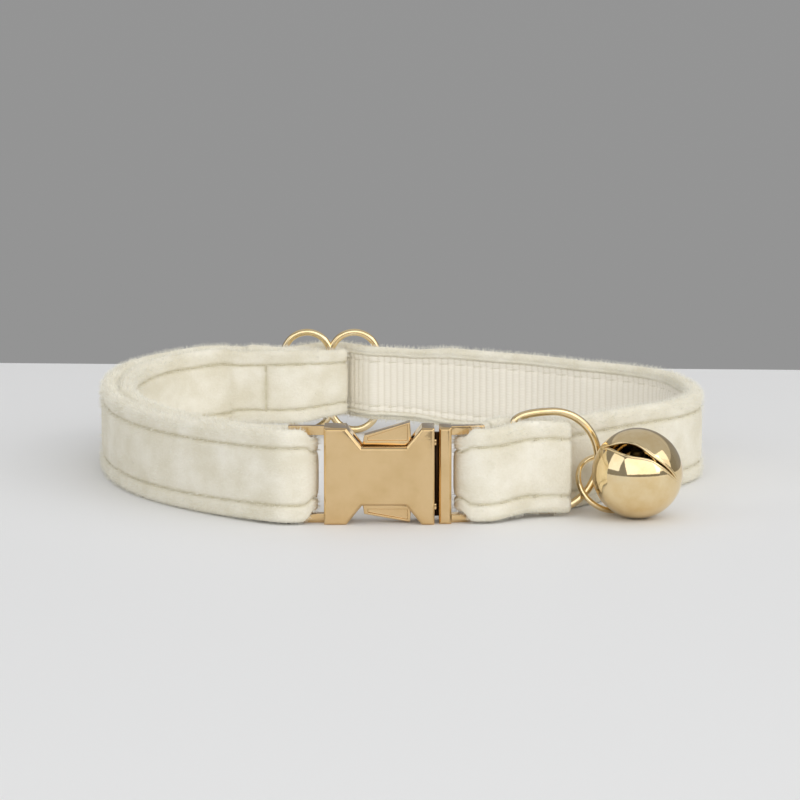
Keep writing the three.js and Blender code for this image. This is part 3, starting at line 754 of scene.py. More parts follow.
@dataclass(frozen=True)
class ThreadFinish:
    """Spun polyester sewing thread, twisted from two plies, with a faint gloss."""

    name: str = "cream_sewing_thread"
    colour: str = "DDD4B8"
    twist_mm: float = 0.5
    ply_depth_mm: float = 0.05
    root_shade: float = 0.8

    def make(self) -> bpy.types.Material:
        """Returns the thread material."""
        material, tree, shader = new_surface(self.name)
        place = add_node(tree, "ShaderNodeTexCoord").outputs["Object"]
        ply = add_node(tree, "ShaderNodeTexWave", {
            "Vector": place, "Scale": 1 / (2 * self.twist_mm * MM), "Distortion": 2.0})
        bump = add_node(tree, "ShaderNodeBump", {
            "Height": ply.outputs["Fac"], "Distance": self.ply_depth_mm * MM,
            "Strength": 0.5})
        tree.links.new(bump.outputs["Normal"], shader.inputs["Normal"])
        ramp = add_node(tree, "ShaderNodeValToRGB", {"Fac": ply.outputs["Fac"]})
        shade = srgb(self.colour)
        # Darker between the plies: painted shade in the grooves of the twist.
        ramp.color_ramp.elements[0].color = (*(self.root_shade * c for c in shade[:3]), 1)
        ramp.color_ramp.elements[1].color = shade
        tree.links.new(ramp.outputs["Color"], shader.inputs["Base Color"])
        shader.inputs["Roughness"].default_value = 0.7
        shader.inputs["Sheen Weight"].default_value = 0.3
        return material


@dataclass(frozen=True)
class PlatedFinish:
    """Die-cast zinc or steel under thin bright plating, polished, with faint handling haze.

    The plating colours what it reflects, so its look comes from the room round it.
    """

    name: str
    colour: str
    worn: str
    roughness: float
    haze_mm: float = 3.0
    pit_mm: float = 0.35
    pit_depth_mm: float = 0.004

    def make(self) -> bpy.types.Material:
        """Returns the plated metal."""
        material, tree, shader = new_surface(self.name)
        place = add_node(tree, "ShaderNodeTexCoord").outputs["Object"]
        haze = add_node(tree, "ShaderNodeTexNoise", {
            "Vector": place, "Scale": 1 / (self.haze_mm * MM), "Detail": 5.0, "Roughness": 0.6})
        pits = add_node(tree, "ShaderNodeTexNoise", {
            "Vector": place, "Scale": 1 / (self.pit_mm * MM), "Detail": 2.0})
        rough = add_node(tree, "ShaderNodeMapRange", {
            "Value": haze.outputs["Fac"], "From Min": 0.3, "From Max": 0.7,
            "To Min": self.roughness * 0.75, "To Max": self.roughness * 1.35})
        tree.links.new(rough.outputs["Result"], shader.inputs["Roughness"])
        ramp = add_node(tree, "ShaderNodeValToRGB", {"Fac": haze.outputs["Fac"]})
        ramp.color_ramp.elements[0].position, ramp.color_ramp.elements[1].position = 0.3, 0.6
        ramp.color_ramp.elements[0].color = srgb(self.worn)
        ramp.color_ramp.elements[1].color = srgb(self.colour)
        tree.links.new(ramp.outputs["Color"], shader.inputs["Base Color"])
        bump = add_node(tree, "ShaderNodeBump", {
            "Height": pits.outputs["Fac"], "Distance": self.pit_depth_mm * MM, "Strength": 0.6})
        tree.links.new(bump.outputs["Normal"], shader.inputs["Normal"])
        shader.inputs["Metallic"].default_value = 1.0
        return material


@dataclass(frozen=True)
class StudioFinish:
    """A matt studio surface, painted or papered, with a faint mottle."""

    name: str
    colour: str
    glow: float = 0.0
    mottle_scale: float = 8.0
    mottle_shade: float = 0.985

    def make(self) -> bpy.types.Material:
        """Returns the studio material."""
        material, tree, shader = new_surface(self.name)
        place = add_node(tree, "ShaderNodeTexCoord").outputs["Object"]
        mottle = add_node(tree, "ShaderNodeTexNoise", {
            "Vector": place, "Scale": self.mottle_scale})
        ramp = add_node(tree, "ShaderNodeValToRGB", {"Fac": mottle.outputs["Fac"]})
        shade = srgb(self.colour)
        ramp.color_ramp.elements[0].color = (*(self.mottle_shade * c for c in shade[:3]), 1)
        ramp.color_ramp.elements[1].color = shade
        tree.links.new(ramp.outputs["Color"], shader.inputs["Base Color"])
        shader.inputs["Roughness"].default_value = 0.6
        shader.inputs["Specular IOR Level"].default_value = 0.2
        if self.glow:
            shader.inputs["Emission Color"].default_value = shade
            shader.inputs["Emission Strength"].default_value = self.glow
        return material


@dataclass
class Workshop:
    """Turns shapes in the collar's own millimetres into pieces of the object.

    Attributes:
        shift: Where the collar's own origin lies in the frame, in millimetres.
    """

    shift: Vector

    def finish(self, bm: bmesh.types.BMesh, name: str, material: bpy.types.Material, slot: str,
               replaces: tuple[str, ...] = ()) -> bpy.types.Object:
        """Makes a mesh piece of a shape and puts it on the collar.

        Args:
            bm: The shape, in millimetres; it is freed.
            name: The piece's name.
            material: Its finish.
            slot: Not used.
            replaces: The CAD nodes that it stands for.

        Returns:
            The piece.
        """
        bmesh.ops.transform(bm, matrix=Matrix.Scale(MM, 4) @ Matrix.Translation(self.shift),
                            verts=bm.verts)
        for face in bm.faces:
            face.smooth = True
        mesh = bpy.data.meshes.new(name)
        bm.to_mesh(mesh)
        bm.free()
        piece = bpy.data.objects.new(name, mesh)
        bpy.context.scene.collection.objects.link(piece)
        piece.data.materials.append(material)
        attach(piece, "root")
        if replaces:
            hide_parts(*replaces)
        LOG.info("%s: %d faces", name, len(mesh.polygons))
        return piece

    def node_copy(self, node: bpy.types.Object, join_mm: float = 0.02,
                  flat_degrees: float = 1.0) -> bmesh.types.BMesh:
        """A CAD node's shape, its triangles joined to whole faces.

        Args:
            node: The CAD node.
            join_mm: How near two corners are one.
            flat_degrees: The most that one flat face may turn.

        Returns:
            The shape in the collar's own millimetres.
        """
        bm = bmesh.new()
        bm.from_mesh(node.data)
        bmesh.ops.transform(bm, matrix=Matrix.Translation(-self.shift) @ Matrix.Scale(1 / MM, 4),
                            verts=bm.verts)
        bmesh.ops.remove_doubles(bm, verts=bm.verts, dist=join_mm)
        bmesh.ops.dissolve_limit(bm, angle_limit=math.radians(flat_degrees), verts=bm.verts,
                                 edges=bm.edges)
        return bm


def soften(piece: bpy.types.Object, width_mm: float, segments: int = 3,
           angle_degrees: float = 28.0) -> None:
    """Rounds a metal piece's edges as polishing does.

    Args:
        piece: The piece.
        width_mm: The rounding's width.
        segments: Its steps.
        angle_degrees: The turn from which an edge counts.
    """
    bevel = piece.modifiers.new("polished_edges", "BEVEL")
    bevel.width = width_mm * MM
    bevel.segments = segments
    bevel.limit_method = "ANGLE"
    bevel.angle_limit = math.radians(angle_degrees)
    bevel.harden_normals = True


@dataclass
class StrapRibbon:
    """Bends a flat strip into the strap's place and back side to side.

    Attributes:
        route: The line that it follows.
        step: The strip's step along its length.
        join: How near two of its corners are one.
    """

    route: StrapRoute
    step: float
    join: float = 0.002

    def place(self, length: float, across: float, out: float) -> Vector:
        """A point of the strap.

        Args:
            length: Its distance along the strap.
            across: Its height above the strap's middle line.
            out: Its distance towards the velvet face.

        Returns:
            The point in the collar's own millimetres.
        """
        section = self.route.at(length)
        point = section.place + section.face * (out * section.squeeze)
        return point + Vector((0, 0, across * section.width))

    def wrap(self, profile: list[tuple[float, float]], start: float, end: float,
             relief: "Relief | None" = None) -> bmesh.types.BMesh:
        """Wraps a closed profile along the strap, from a flat strip as cut.

        Args:
            profile: The section's corners, as distances out and across, in order round it.
            start: Where the strip starts along the strap.
            end: Where it ends.
            relief: What dents and ribs the strip.

        Returns:
            The closed shape with its UV map in millimetres.
        """
        rows, turns = max(2, round((end - start) / self.step)), len(profile)
        bm = bmesh.new()
        bmesh.ops.create_grid(bm, x_segments=rows, y_segments=turns, size=1)
        uv = bm.loops.layers.uv.new("strap_mm")
        groove_shade = bm.verts.layers.float.new("stitch_groove")
        girth = [0.0]
        for i in range(turns):
            (a, b), (c, d) = profile[i], profile[(i + 1) % turns]
            girth.append(girth[-1] + math.hypot(c - a, d - b))
        spots = {v: (round((v.co.x + 1) / 2 * rows), round((v.co.y + 1) / 2 * turns))
                 for v in bm.verts}
        for face in bm.faces:
            for loop in face.loops:
                i, j = spots[loop.vert]
                loop[uv].uv = (mix(start, end, i / rows), girth[j])
        sections = [self.route.at(mix(start, end, i / rows)) for i in range(rows + 1)]
        for v, (i, j) in spots.items():
            out, across = profile[j % turns]
            section = sections[i]
            if relief:
                length = mix(start, end, i / rows)
                # The stitch pull is kept on each corner as the mask for the velvet's painted shade
                # in its stitch grooves.
                v[groove_shade] = relief.pull(length, across)
                out += relief.depth(length, out, across)
            v.co = section.place + section.face * (out * section.squeeze)
            v.co.z += across * section.width
        bmesh.ops.remove_doubles(bm, verts=bm.verts, dist=self.join)
        rims = [e for e in bm.edges if e.is_boundary]
        bmesh.ops.holes_fill(bm, edges=rims, sides=0)
        return bm


@dataclass
class Relief:
    """What dents a strip: the rows of stitches that pull it in, and a webbing's ribs.

    Attributes:
        row_across: Height of each stitch row above and below the middle.
        pitch: Length from stitch to stitch.
        dent: How deep a stitch pulls the cloth in.
        dent_width: How wide that dent is.
        rib_pitch: Length from rib to rib, or 0 for none.
        rib_height: How far a rib stands out.
        swell: How far velvet stands up between its rows.
        seam: Where along the strip a seam crosses it, or None.
        seam_width: How wide that seam's dent is.
    """

    row_across: float = 3.9
    pitch: float = 2.8
    dent: float = 0.3
    dent_width: float = 0.42
    rib_pitch: float = 0.0
    rib_height: float = 0.0
    swell: float = 0.0
    seam: float | None = None
    seam_width: float = 0.42

    def pull(self, length: float, across: float) -> float:
        """Returns how near a point is to a row of stitches, from 0 to 1 on the row itself."""
        from_row = (abs(across) - self.row_across) / self.dent_width
        pull = math.exp(-from_row * from_row)
        if self.seam is not None and abs(across) < self.row_across:
            from_seam = (length - self.seam) / self.seam_width
            pull = max(pull, math.exp(-from_seam * from_seam))
        return pull

    def depth(self, length: float, out: float, across: float) -> float:
        """How far a point moves out.

        Args:
            length: Its distance along the strap.
            out: Its own distance out, whose sign says which face it is on.
            across: Its height above the middle line.

        Returns:
            The move, away from the velvet face where it dents it.
        """
        side = 1 if out > 0 else -1
        beat = 0.85 + 0.15 * math.cos(2 * math.pi * length / self.pitch)
        moved = -side * self.dent * self.pull(length, across) * beat
        if self.rib_pitch:
            rib = abs(math.sin(math.pi * length / self.rib_pitch))
            moved += side * self.rib_height * rib
        inside = smooth(self.row_across - abs(across), 0, 2)
        return moved + side * self.swell * inside


@dataclass
class VelvetCover:
    """The velvet: folded round the webbing, its pile standing off every rim."""

    route: StrapRoute
    material: bpy.types.Material
    pile: bpy.types.Material
    workshop: Workshop
    name: str = "velvet_cover"
    replaces: str = "velvet_strap"
    edge_radius: float = 0.85
    edge_steps: int = 4
    hem_proud: float = 0.22
    hem_lap: float = 0.1
    rows: tuple[float, ...] = (-4.9, -4.5, -4.2, -4.05, -3.9, -3.75, -3.6, -3.3, -2.9, -2.2, -1.2)
    step: float = 0.47
    crumple_seed: int = 7
    crumple_waves: int = 9
    crumple_lift: float = 0.35
    crumple_from: float = 3.0
    pile_seed: int = 11
    fibre_length: float = 0.62
    fibre_width: float = 0.045
    fibre_taper: float = 0.3
    fibre_root: float = 0.12
    fibre_floor: float = 0.02
    fibres_per_mm: float = 210.0
    rim_from: float = 4.85
    rim_weight: float = 4.0
    face_weight: float = 0.7
    seam: float | None = None

    def profile(self) -> list[tuple[float, float]]:
        """Returns the section's corners, out and across, from hem round the face to hem."""
        s = self.route.sizes
        face, edge, r = s.thickness / 2, s.width / 2, self.edge_radius
        hem = s.webbing_width / 2 - self.hem_lap
        rounding = [k * QUARTER / self.edge_steps for k in range(self.edge_steps + 1)]
        low = [(-face - self.hem_proud, -hem), (-face - self.hem_proud, -(hem + edge) / 2)]
        low += [(-face + r * (1 - math.cos(a)), -edge + r * (1 - math.sin(a))) for a in rounding]
        low += [(face - r * (1 - math.sin(a)), -edge + r * (1 - math.cos(a))) for a in rounding]
        upper = [(out, -across) for out, across in reversed(low)]
        across = [*self.rows, 0.0, *(-a for a in reversed(self.rows))]
        floor = face - s.velvet_wall
        if self.route.tab:
            back = [(-face, -a) for a in across]
            return [*low[2:], *((face, a) for a in across), *upper[:-2], *back]
        return [*low, *((face, a) for a in across), *upper, (floor, hem), (floor, -hem)]

    def build(self) -> bpy.types.Object:
        ribbon = StrapRibbon(self.route, self.step)
        relief = Relief(dent=0.36, dent_width=0.26, swell=0.1, seam=self.seam)
        bm = ribbon.wrap(self.profile(), 0.0, self.route.length, relief)
        self._crumple(bm)
        bmesh.ops.recalc_face_normals(bm, faces=bm.faces)
        cover = self.workshop.finish(bm, self.name, self.material, "velvet", (self.replaces,))
        return cover

    def _crumple(self, bm: bmesh.types.BMesh) -> None:
        """Gives the cloth the small unevenness that hands and sewing leave."""
        noise = random.Random(self.crumple_seed)
        waves = [(noise.uniform(0.25, 0.9), noise.uniform(0, 6.3), noise.uniform(0.02, 0.05))
                 for _ in range(self.crumple_waves)]
        for v in bm.verts:
            lift = sum(a * math.sin(k * (v.co.x + 0.7 * v.co.y) + 0.5 * k * v.co.z + p)
                       for k, p, a in waves)
            v.co.z += self.crumple_lift * lift * (1 if v.co.z > self.crumple_from else 0)

    def build_pile(self) -> bpy.types.Object:
        """Builds the fibres that stand off the cover, most of them at its two rims."""
        ribbon = StrapRibbon(self.route, self.step)
        draw = random.Random(self.pile_seed)
        profile = self.profile() if self.route.tab else self.profile()[:-2]
        fibres = round(self.fibres_per_mm * self.route.length)
        weights = [self.rim_weight if abs(across) > self.rim_from else self.face_weight
                   for _, across in profile[:-1]]
        bm = bmesh.new()
        bmesh.ops.create_grid(bm, x_segments=fibres, y_segments=1, size=1)
        bmesh.ops.split_edges(bm, edges=bm.edges)
        for face in bm.faces:
            j = draw.choices(range(len(weights)), weights)[0]
            (o0, a0), (o1, a1) = profile[j], profile[j + 1]
            share, length = draw.random(), draw.uniform(0.2, self.route.length - 0.2)
            out, across = mix(o0, o1, share), mix(a0, a1, share)
            root = ribbon.place(length, across, out)
            section = self.route.at(length)
            normal = section.face * (a1 - a0) + Vector((0, 0, -(o1 - o0)))
            normal.normalize()
            lean = Vector((draw.gauss(0, 0.45), draw.gauss(0, 0.45), draw.gauss(0, 0.3)))
            reach = self.fibre_length * draw.uniform(0.45, 1.15)
            tip = root + (normal + lean).normalized() * reach
            side = (tip - root).cross(Vector((draw.gauss(0, 1), draw.gauss(0, 1), 0.3)))
            side = side.normalized() * (self.fibre_width / 2)
            root -= normal * self.fibre_root
            tip.z = max(tip.z, self.fibre_floor)
            point = side * self.fibre_taper
            for v, place in zip(face.verts, (root - side, root + side, tip + point, tip - point)):
                v.co = place
        return self.workshop.finish(bm, self.name.replace("cover", "pile"), self.pile, "velvet")


@dataclass
class WebbingLining:
    """The ribbed webbing sewn into the velvet, a little proud of the hems beside it."""

    route: StrapRoute
    material: bpy.types.Material
    workshop: Workshop
    rib_pitch: float = 1.05
    steps_per_rib: int = 6
    proud: float = 0.03
    edge_radius: float = 0.25
    end_gap: float = 0.15
    rows: tuple[float, ...] = (-4.5, -4.2, -4.0, -3.9, -3.8, -3.6, -3.3, -2.4, -1.2)

    def build(self) -> bpy.types.Object:
        s = self.route.sizes
        back = -s.thickness / 2 - self.proud
        front = back + s.webbing_thickness
        half = s.webbing_width / 2
        r = self.edge_radius
        across = [*self.rows, 0.0, *(-a for a in reversed(self.rows))]
        profile = [(front, half), (front, -half), (back + r, -half), (back, -half + r),
                   *((back, a) for a in across), (back, half - r), (back + r, half)]
        ribbon = StrapRibbon(self.route, self.rib_pitch / self.steps_per_rib)
        relief = Relief(dent=0.2, dent_width=0.3, rib_pitch=self.rib_pitch, rib_height=0.06)
        bm = ribbon.wrap(profile, self.end_gap, self.route.length - self.end_gap, relief)
        bmesh.ops.recalc_face_normals(bm, faces=bm.faces)
        lining = self.workshop.finish(bm, "webbing_lining", self.material, "webbing",
                                      ("webbing_strap",))
        return lining


@dataclass
class Stitching:
    """Lockstitch rows along both faces of the strap, and the short seams across it."""

    route: StrapRoute
    material: bpy.types.Material
    workshop: Workshop
    pitch: float = 2.8
    row_across: float = 3.9
    half_length: float = 1.0
    half_width: float = 0.15
    half_height: float = 0.12
    slant_degrees: float = 5.0
    sunk: float = 0.24
    end_margin: float = 2.0
    seam_stitches: int = 4
    seam_pitch: float = 2.5
    seam_sunk: float = 0.22

    def _stitch(self, bm: bmesh.types.BMesh, place: Vector, along: Vector, out: Vector) -> None:
        """Adds one stitch: a short rounded length of thread.

        Args:
            bm: The shape that it joins.
            place: Its middle.
            along: The way that it runs.
            out: The way off the cloth.
        """
        side = out.cross(along)
        turn = Matrix((along * self.half_length, side * self.half_width,
                       out * self.half_height)).transposed().to_4x4()
        bmesh.ops.create_uvsphere(bm, u_segments=8, v_segments=6, radius=1,
                                  matrix=Matrix.Translation(place) @ turn)

    def build_rows(self, face_out: float, name: str, slot: str) -> bpy.types.Object:
        """Builds both rows on one face.

        Args:
            face_out: Where that face lies, out from the strap's middle.
            name: The piece's name.
            slot: A material slot name, passed on and not used.

        Returns:
            The piece.
        """
        bm = bmesh.new()
        ribbon = StrapRibbon(self.route, self.pitch)
        way = 1 if face_out > 0 else -1
        for k in range(int((self.route.length - self.end_margin) / self.pitch)):
            length = (k + 0.5) * self.pitch
            section = self.route.at(length)
            for row in (-self.row_across, self.row_across):
                place = ribbon.place(length, row, face_out - way * self.sunk)
                out = section.face * way
                slant = Quaternion(out, math.radians(self.slant_degrees))
                self._stitch(bm, place, slant @ section.forward, out)
        return self.workshop.finish(bm, name, self.material, slot)

    def build_seam(self, length: float, face_out: float, name: str) -> bpy.types.Object:
        """Builds a seam across the strap.

        Args:
            length: Where it lies along the strap.
            face_out: Where the face that it shows on lies.
            name: The piece's name.

        Returns:
            The piece.
        """
        bm = bmesh.new()
        ribbon = StrapRibbon(self.route, self.pitch)
        way = 1 if face_out > 0 else -1
        section = self.route.at(length)
        for k in range(self.seam_stitches):
            across = (k - (self.seam_stitches - 1) / 2) * self.seam_pitch
            place = ribbon.place(length, across, face_out - way * self.seam_sunk)
            self._stitch(bm, place, Vector((0, 0, 1)), section.face * way)
        return self.workshop.finish(bm, name, self.material, "velvet")


def wire(bm: bmesh.types.BMesh, points: list[Vector], radius: float, normal: Vector,
         closed: bool = True, sides: int = 14) -> None:
    """Runs a round wire through points that lie in one plane.

    Args:
        bm: The shape that it joins.
        points: The wire's middle line.
        radius: Half the wire's thickness.
        normal: The plane's normal.
        closed: Whether the wire joins itself.
        sides: Faces round the wire.
    """
    count = len(points)
    loops = []
    for i, point in enumerate(points):
        before = points[i - 1] if closed or i else point
        after = points[(i + 1) % count] if closed or i < count - 1 else point
        along = (after - before).normalized()
        side = normal.cross(along).normalized()
        turn = Matrix((side, along.cross(side), along)).transposed().to_4x4()
        made = bmesh.ops.create_circle(bm, segments=sides, radius=radius,
                                       matrix=Matrix.Translation(point) @ turn,
                                       cap_ends=not closed and i in (0, count - 1))
        loops.append([e for v in made["verts"] for e in v.link_edges])
    pairs = list(zip(loops, loops[1:] + loops[:1])) if closed else list(zip(loops, loops[1:]))
    for a, b in pairs:
        bmesh.ops.bridge_loops(bm, edges=list({*a, *b}))
        a[:] = [e for e in a if e.is_valid]


def arc_points(centre: tuple[float, float], radius: float, start: float, end: float,
               steps: int) -> list[Vector]:
    """Points of an arc in the upright plane.

    Args:
        centre: Its centre, across and up.
        radius: Its radius.
        start: First angle in degrees.
        end: Last angle in degrees.
        steps: How many steps.

    Returns:
        The points with y at 0.
    """
    angles = [math.radians(mix(start, end, i / steps)) for i in range(steps + 1)]
    return [Vector((centre[0] + radius * math.cos(a), 0, centre[1] + radius * math.sin(a)))
            for a in angles]


def turned(points: list[Vector], degrees: float, place: Vector) -> list[Vector]:
    """Returns the points turned about the upright axis and moved to a place."""
    turn = Matrix.Rotation(math.radians(degrees), 3, "Z")
    return [turn @ p + place for p in points]


@dataclass
class AdjusterSlide:
    """Two tall round-wire rings side by side, joined at the bar that they share."""

    route: StrapRoute
    material: bpy.types.Material
    workshop: Workshop
    arc_steps: int = 28

    def build(self) -> bpy.types.Object:
        """Builds the slide."""
        s = self.route.sizes
        radius, wire_radius = s.slide_pitch / 2, s.slide_wire / 2
        straight = s.slide_height / 2 - radius - wire_radius
        place = Vector((s.slide_x, s.slide_y, s.slide_height / 2))
        left = (arc_points((-radius, straight), radius, 0, 180, self.arc_steps)
                + arc_points((-radius, -straight), radius, 180, 360, self.arc_steps))
        right = (arc_points((radius, -straight), radius, 180, 360, self.arc_steps)
                 + arc_points((radius, straight), radius, 0, 180, self.arc_steps))
        bm = bmesh.new()
        across = Vector((0, 1, 0))
        wire(bm, turned(left, 0, place), wire_radius, across)
        wire(bm, turned(right, 0, place), wire_radius, across, closed=False)
        bmesh.ops.recalc_face_normals(bm, faces=bm.faces)
        return self.workshop.finish(bm, "adjuster_rings", self.material, "yellow_gold",
                                    ("adjuster_slide",))


@dataclass
class RingAndLink:
    """The D ring that the strap holds, and the round link that joins the bell to it."""

    route: StrapRoute
    material: bpy.types.Material
    workshop: Workshop
    turn: float = 16.0
    bar_share: float = 0.74
    link_radius: float = 4.2
    link_wire: float = 0.8
    link_slack: float = 0.2
    link_facing: tuple[float, float] = (-62.0, 36.9)
    link_from_loop: tuple[float, float] = (-172.9, 25.3)
    link_steps: int = 64
    link_sides: int = 12
    corner_steps: int = 12
    arc_steps: int = 40

    @property
    def bar(self) -> Vector:
        """Where the ring's straight bar stands, at half its height."""
        bar = self.route.ring_bar
        return Vector((bar.x, bar.y, self.route.sizes.ring_height / 2))

    def outline(self) -> list[Vector]:
        """Returns the ring's middle line, its bar at x = 0 and its bow towards +x."""
        s = self.route.sizes
        bow = s.ring_height / 2 - s.ring_wire / 2
        centre = s.ring_reach - s.ring_height / 2
        half = self.bar_share * s.ring_height / 2 - s.ring_wire / 4
        corner = []
        for i in range(self.corner_steps):
            t = i / self.corner_steps
            corner.append(Vector((t * t * centre, 0, -mix(half, bow, 1 - (1 - t) ** 2))))
        bow_points = arc_points((centre, 0), bow, -90, 90, self.arc_steps)
        upper = [Vector((p.x, 0, -p.z)) for p in reversed(corner)]
        return [*corner, *bow_points, *upper]

    def build_ring(self) -> bpy.types.Object:
        """Builds the D ring."""
        bm = bmesh.new()
        normal = Matrix.Rotation(math.radians(self.turn), 3, "Z") @ Vector((0, 1, 0))
        line = turned(self.outline(), self.turn, self.bar)
        wire(bm, line, self.route.sizes.ring_wire / 2, normal)
        bmesh.ops.recalc_face_normals(bm, faces=bm.faces)
        return self.workshop.finish(bm, "d_ring_wire", self.material, "yellow_gold", ("d_ring",))

    def build_link(self, loop_place: Vector) -> bpy.types.Object:
        """Builds the link between the ring's bow and the bell's loop.

        Args:
            loop_place: The middle of the bell's loop.

        Returns:
            The piece.
        """
        facing = heading(*self.link_facing)
        away = self.link_radius + self.link_slack
        centre = loop_place + heading(*self.link_from_loop) * away
        turn = Vector((0, 0, 1)).rotation_difference(facing)
        points = [centre + turn @ Vector((math.cos(a), math.sin(a), 0)) * self.link_radius
                  for a in (4 * QUARTER * i / self.link_steps for i in range(self.link_steps))]
        bm = bmesh.new()
        wire(bm, points, self.link_wire / 2, facing, sides=self.link_sides)
        bmesh.ops.recalc_face_normals(bm, faces=bm.faces)
        return self.workshop.finish(bm, "bell_link", self.material, "yellow_gold",
                                    ("bell_jump_ring",))


@dataclass
class JingleBell:
    """A round bell pressed from thin brass, with one curled slit and a loop at its back."""

    material: bpy.types.Material
    steel: bpy.types.Material
    workshop: Workshop
    ring: RingAndLink
    radius: float = 6.2
    wall: float = 0.45
    slit_half_angle: float = 67.0
    slit_width: float = 2.2
    slit_opens: tuple[float, float] = (0.1, 0.36)
    slit_closes: tuple[float, float] = (0.4, 0.66)
    slit_narrow: float = 0.36
    slit_steps: int = 48
    lip_radius: float = 0.2
    lip_sunk: float = 0.6
    lip_sides: int = 10
    tilt: float = 54.0
    roll: float = -24.8
    bearing: float = -40.0
    loop_radius: float = 1.35
    loop_wire: float = 0.7
    loop_steps: int = 40
    loop_sides: int = 12
    pellet_radius: float = 1.5
    pellet_bed: float = 0.7
    segments: int = 144

    @property
    def place(self) -> Vector:
        """The bell's middle."""
        s = self.ring.route.sizes
        reach = s.ring_reach - s.ring_wire
        away = self.radius + s.ring_wire / 2 + 2 * s.clearance
        turn, bearing = math.radians(self.ring.turn), math.radians(self.bearing)
        bar = self.ring.bar
        return Vector((bar.x + reach * math.cos(turn) + away * math.cos(bearing),
                       bar.y + reach * math.sin(turn) + away * math.sin(bearing), self.radius))

    @property
    def turn(self) -> Matrix:
        """The turn from the bell's own axes, slit up, to how it lies."""
        return (Matrix.Rotation(math.radians(self.tilt), 4, "X")
                @ Matrix.Rotation(math.radians(self.roll), 4, "Z"))

    @property
    def loop_place(self) -> Vector:
        """The middle of the bell's loop."""
        reach = self.radius + self.loop_radius - self.loop_wire / 2
        return self.turn.to_3x3() @ Vector((0, 0, -reach)) + self.place

    def _opening(self, angle: float) -> float:
        """Returns half the slit's opening, as an angle, at an angle along the slit."""
        if abs(angle) >= self.slit_half_angle:
            return 0.0
        share = (angle + self.slit_half_angle) / (2 * self.slit_half_angle)
        widest = math.asin(self.slit_width / 2 / self.radius)
        gape = smooth(share, *self.slit_opens) * (1 - smooth(share, *self.slit_closes))
        ends = max(0.0, math.sin(math.pi * share)) ** 0.5
        return widest * ends * mix(self.slit_narrow, 1, gape)

    def _slit_side(self, side: int, radius: float) -> list[Vector]:
        """Returns one lip of the slit, in the bell's own axes."""
        points = []
        for i in range(self.slit_steps + 1):
            angle = mix(-self.slit_half_angle, self.slit_half_angle, i / self.slit_steps)
            a, b = math.radians(angle), side * self._opening(angle)
            points.append(Vector((math.sin(a) * math.cos(b), math.sin(b),
                                  math.cos(a) * math.cos(b))) * radius)
        return points

    def _shell(self) -> bmesh.types.BMesh:
        """Returns the ball, opened along its slit, in the bell's own axes."""
        bm = bmesh.new()
        bmesh.ops.create_uvsphere(bm, u_segments=self.segments, v_segments=self.segments // 2,
                                  radius=self.radius)

        def along(v: bmesh.types.BMVert | Vector) -> float:
            """Returns the angle along the slit's circle, in degrees."""
            co = v if isinstance(v, Vector) else v.co
            return math.degrees(math.atan2(co.y, co.x))

        level = 1e-4
        slit = [e for e in bm.edges if all(abs(v.co.z) < level for v in e.verts)
                and abs(along((e.verts[0].co + e.verts[1].co) / 2)) < self.slit_half_angle]
        bmesh.ops.split_edges(bm, edges=slit)
        for v in bm.verts:
            opening = self._opening(along(v))
            if not opening or not v.link_faces:
                continue
            latitude = math.asin(max(-1.0, min(1.0, v.co.z / self.radius)))
            middle = sum(f.calc_center_median().z for f in v.link_faces)
            side = 1 if middle > 0 else -1
            moved = side * (opening + abs(latitude) * (QUARTER - opening) / QUARTER)
            turn = math.atan2(v.co.y, v.co.x)
            v.co = Vector((math.cos(moved) * math.cos(turn), math.cos(moved) * math.sin(turn),
                           math.sin(moved))) * self.radius
        bmesh.ops.recalc_face_normals(bm, faces=bm.faces)
        slit_up = Matrix(((0, 1, 0, 0), (0, 0, 1, 0), (1, 0, 0, 0), (0, 0, 0, 1)))
        bmesh.ops.transform(bm, matrix=slit_up, verts=bm.verts)
        return bm

    def _lay(self, bm: bmesh.types.BMesh) -> None:
        """Turns a shape from the bell's own axes to how the bell lies."""
        bmesh.ops.transform(bm, matrix=Matrix.Translation(self.place) @ self.turn, verts=bm.verts)

    def build(self) -> list[bpy.types.Object]:
        """Builds the shell, its curled lips, its loop and its pellet."""
        bm = self._shell()
        self._lay(bm)
        shell = self.workshop.finish(bm, "bell_shell", self.material, "yellow_gold", ("bell",))
        wall = shell.modifiers.new("pressed_wall", "SOLIDIFY")
        wall.thickness = self.wall * MM
        wall.offset = -1
        lips = bmesh.new()
        radius = self.radius - self.lip_radius * self.lip_sunk
        rim = self._slit_side(1, radius) + self._slit_side(-1, radius)[-2:0:-1]
        wire(lips, rim, self.lip_radius, Vector((0, 0, 1)), sides=self.lip_sides)
        bmesh.ops.recalc_face_normals(lips, faces=lips.faces)
        self._lay(lips)
        lip = self.workshop.finish(lips, "bell_lips", self.material, "yellow_gold")
        loop = bmesh.new()
        reach = self.radius + self.loop_radius - self.loop_wire / 2
        ring = [Vector((math.cos(a), 0, math.sin(a))) * self.loop_radius - Vector((0, 0, reach))
                for a in (4 * QUARTER * i / self.loop_steps for i in range(self.loop_steps))]
        wire(loop, ring, self.loop_wire / 2, Vector((0, 1, 0)), sides=self.loop_sides)
        bmesh.ops.recalc_face_normals(loop, faces=loop.faces)
        self._lay(loop)
        eye = self.workshop.finish(loop, "bell_loop", self.material, "yellow_gold")
        ball = bmesh.new()
        low = (self.radius - self.pellet_bed - self.pellet_radius
               - self.ring.route.sizes.clearance)
        bmesh.ops.create_icosphere(ball, subdivisions=4, radius=self.pellet_radius,
                                   matrix=Matrix.Translation(self.place - Vector((0, 0, low))))
        pellet = self.workshop.finish(ball, "steel_pellet", self.steel, "steel",
                                      ("bell_pellet",))
        return [shell, lip, eye, pellet]


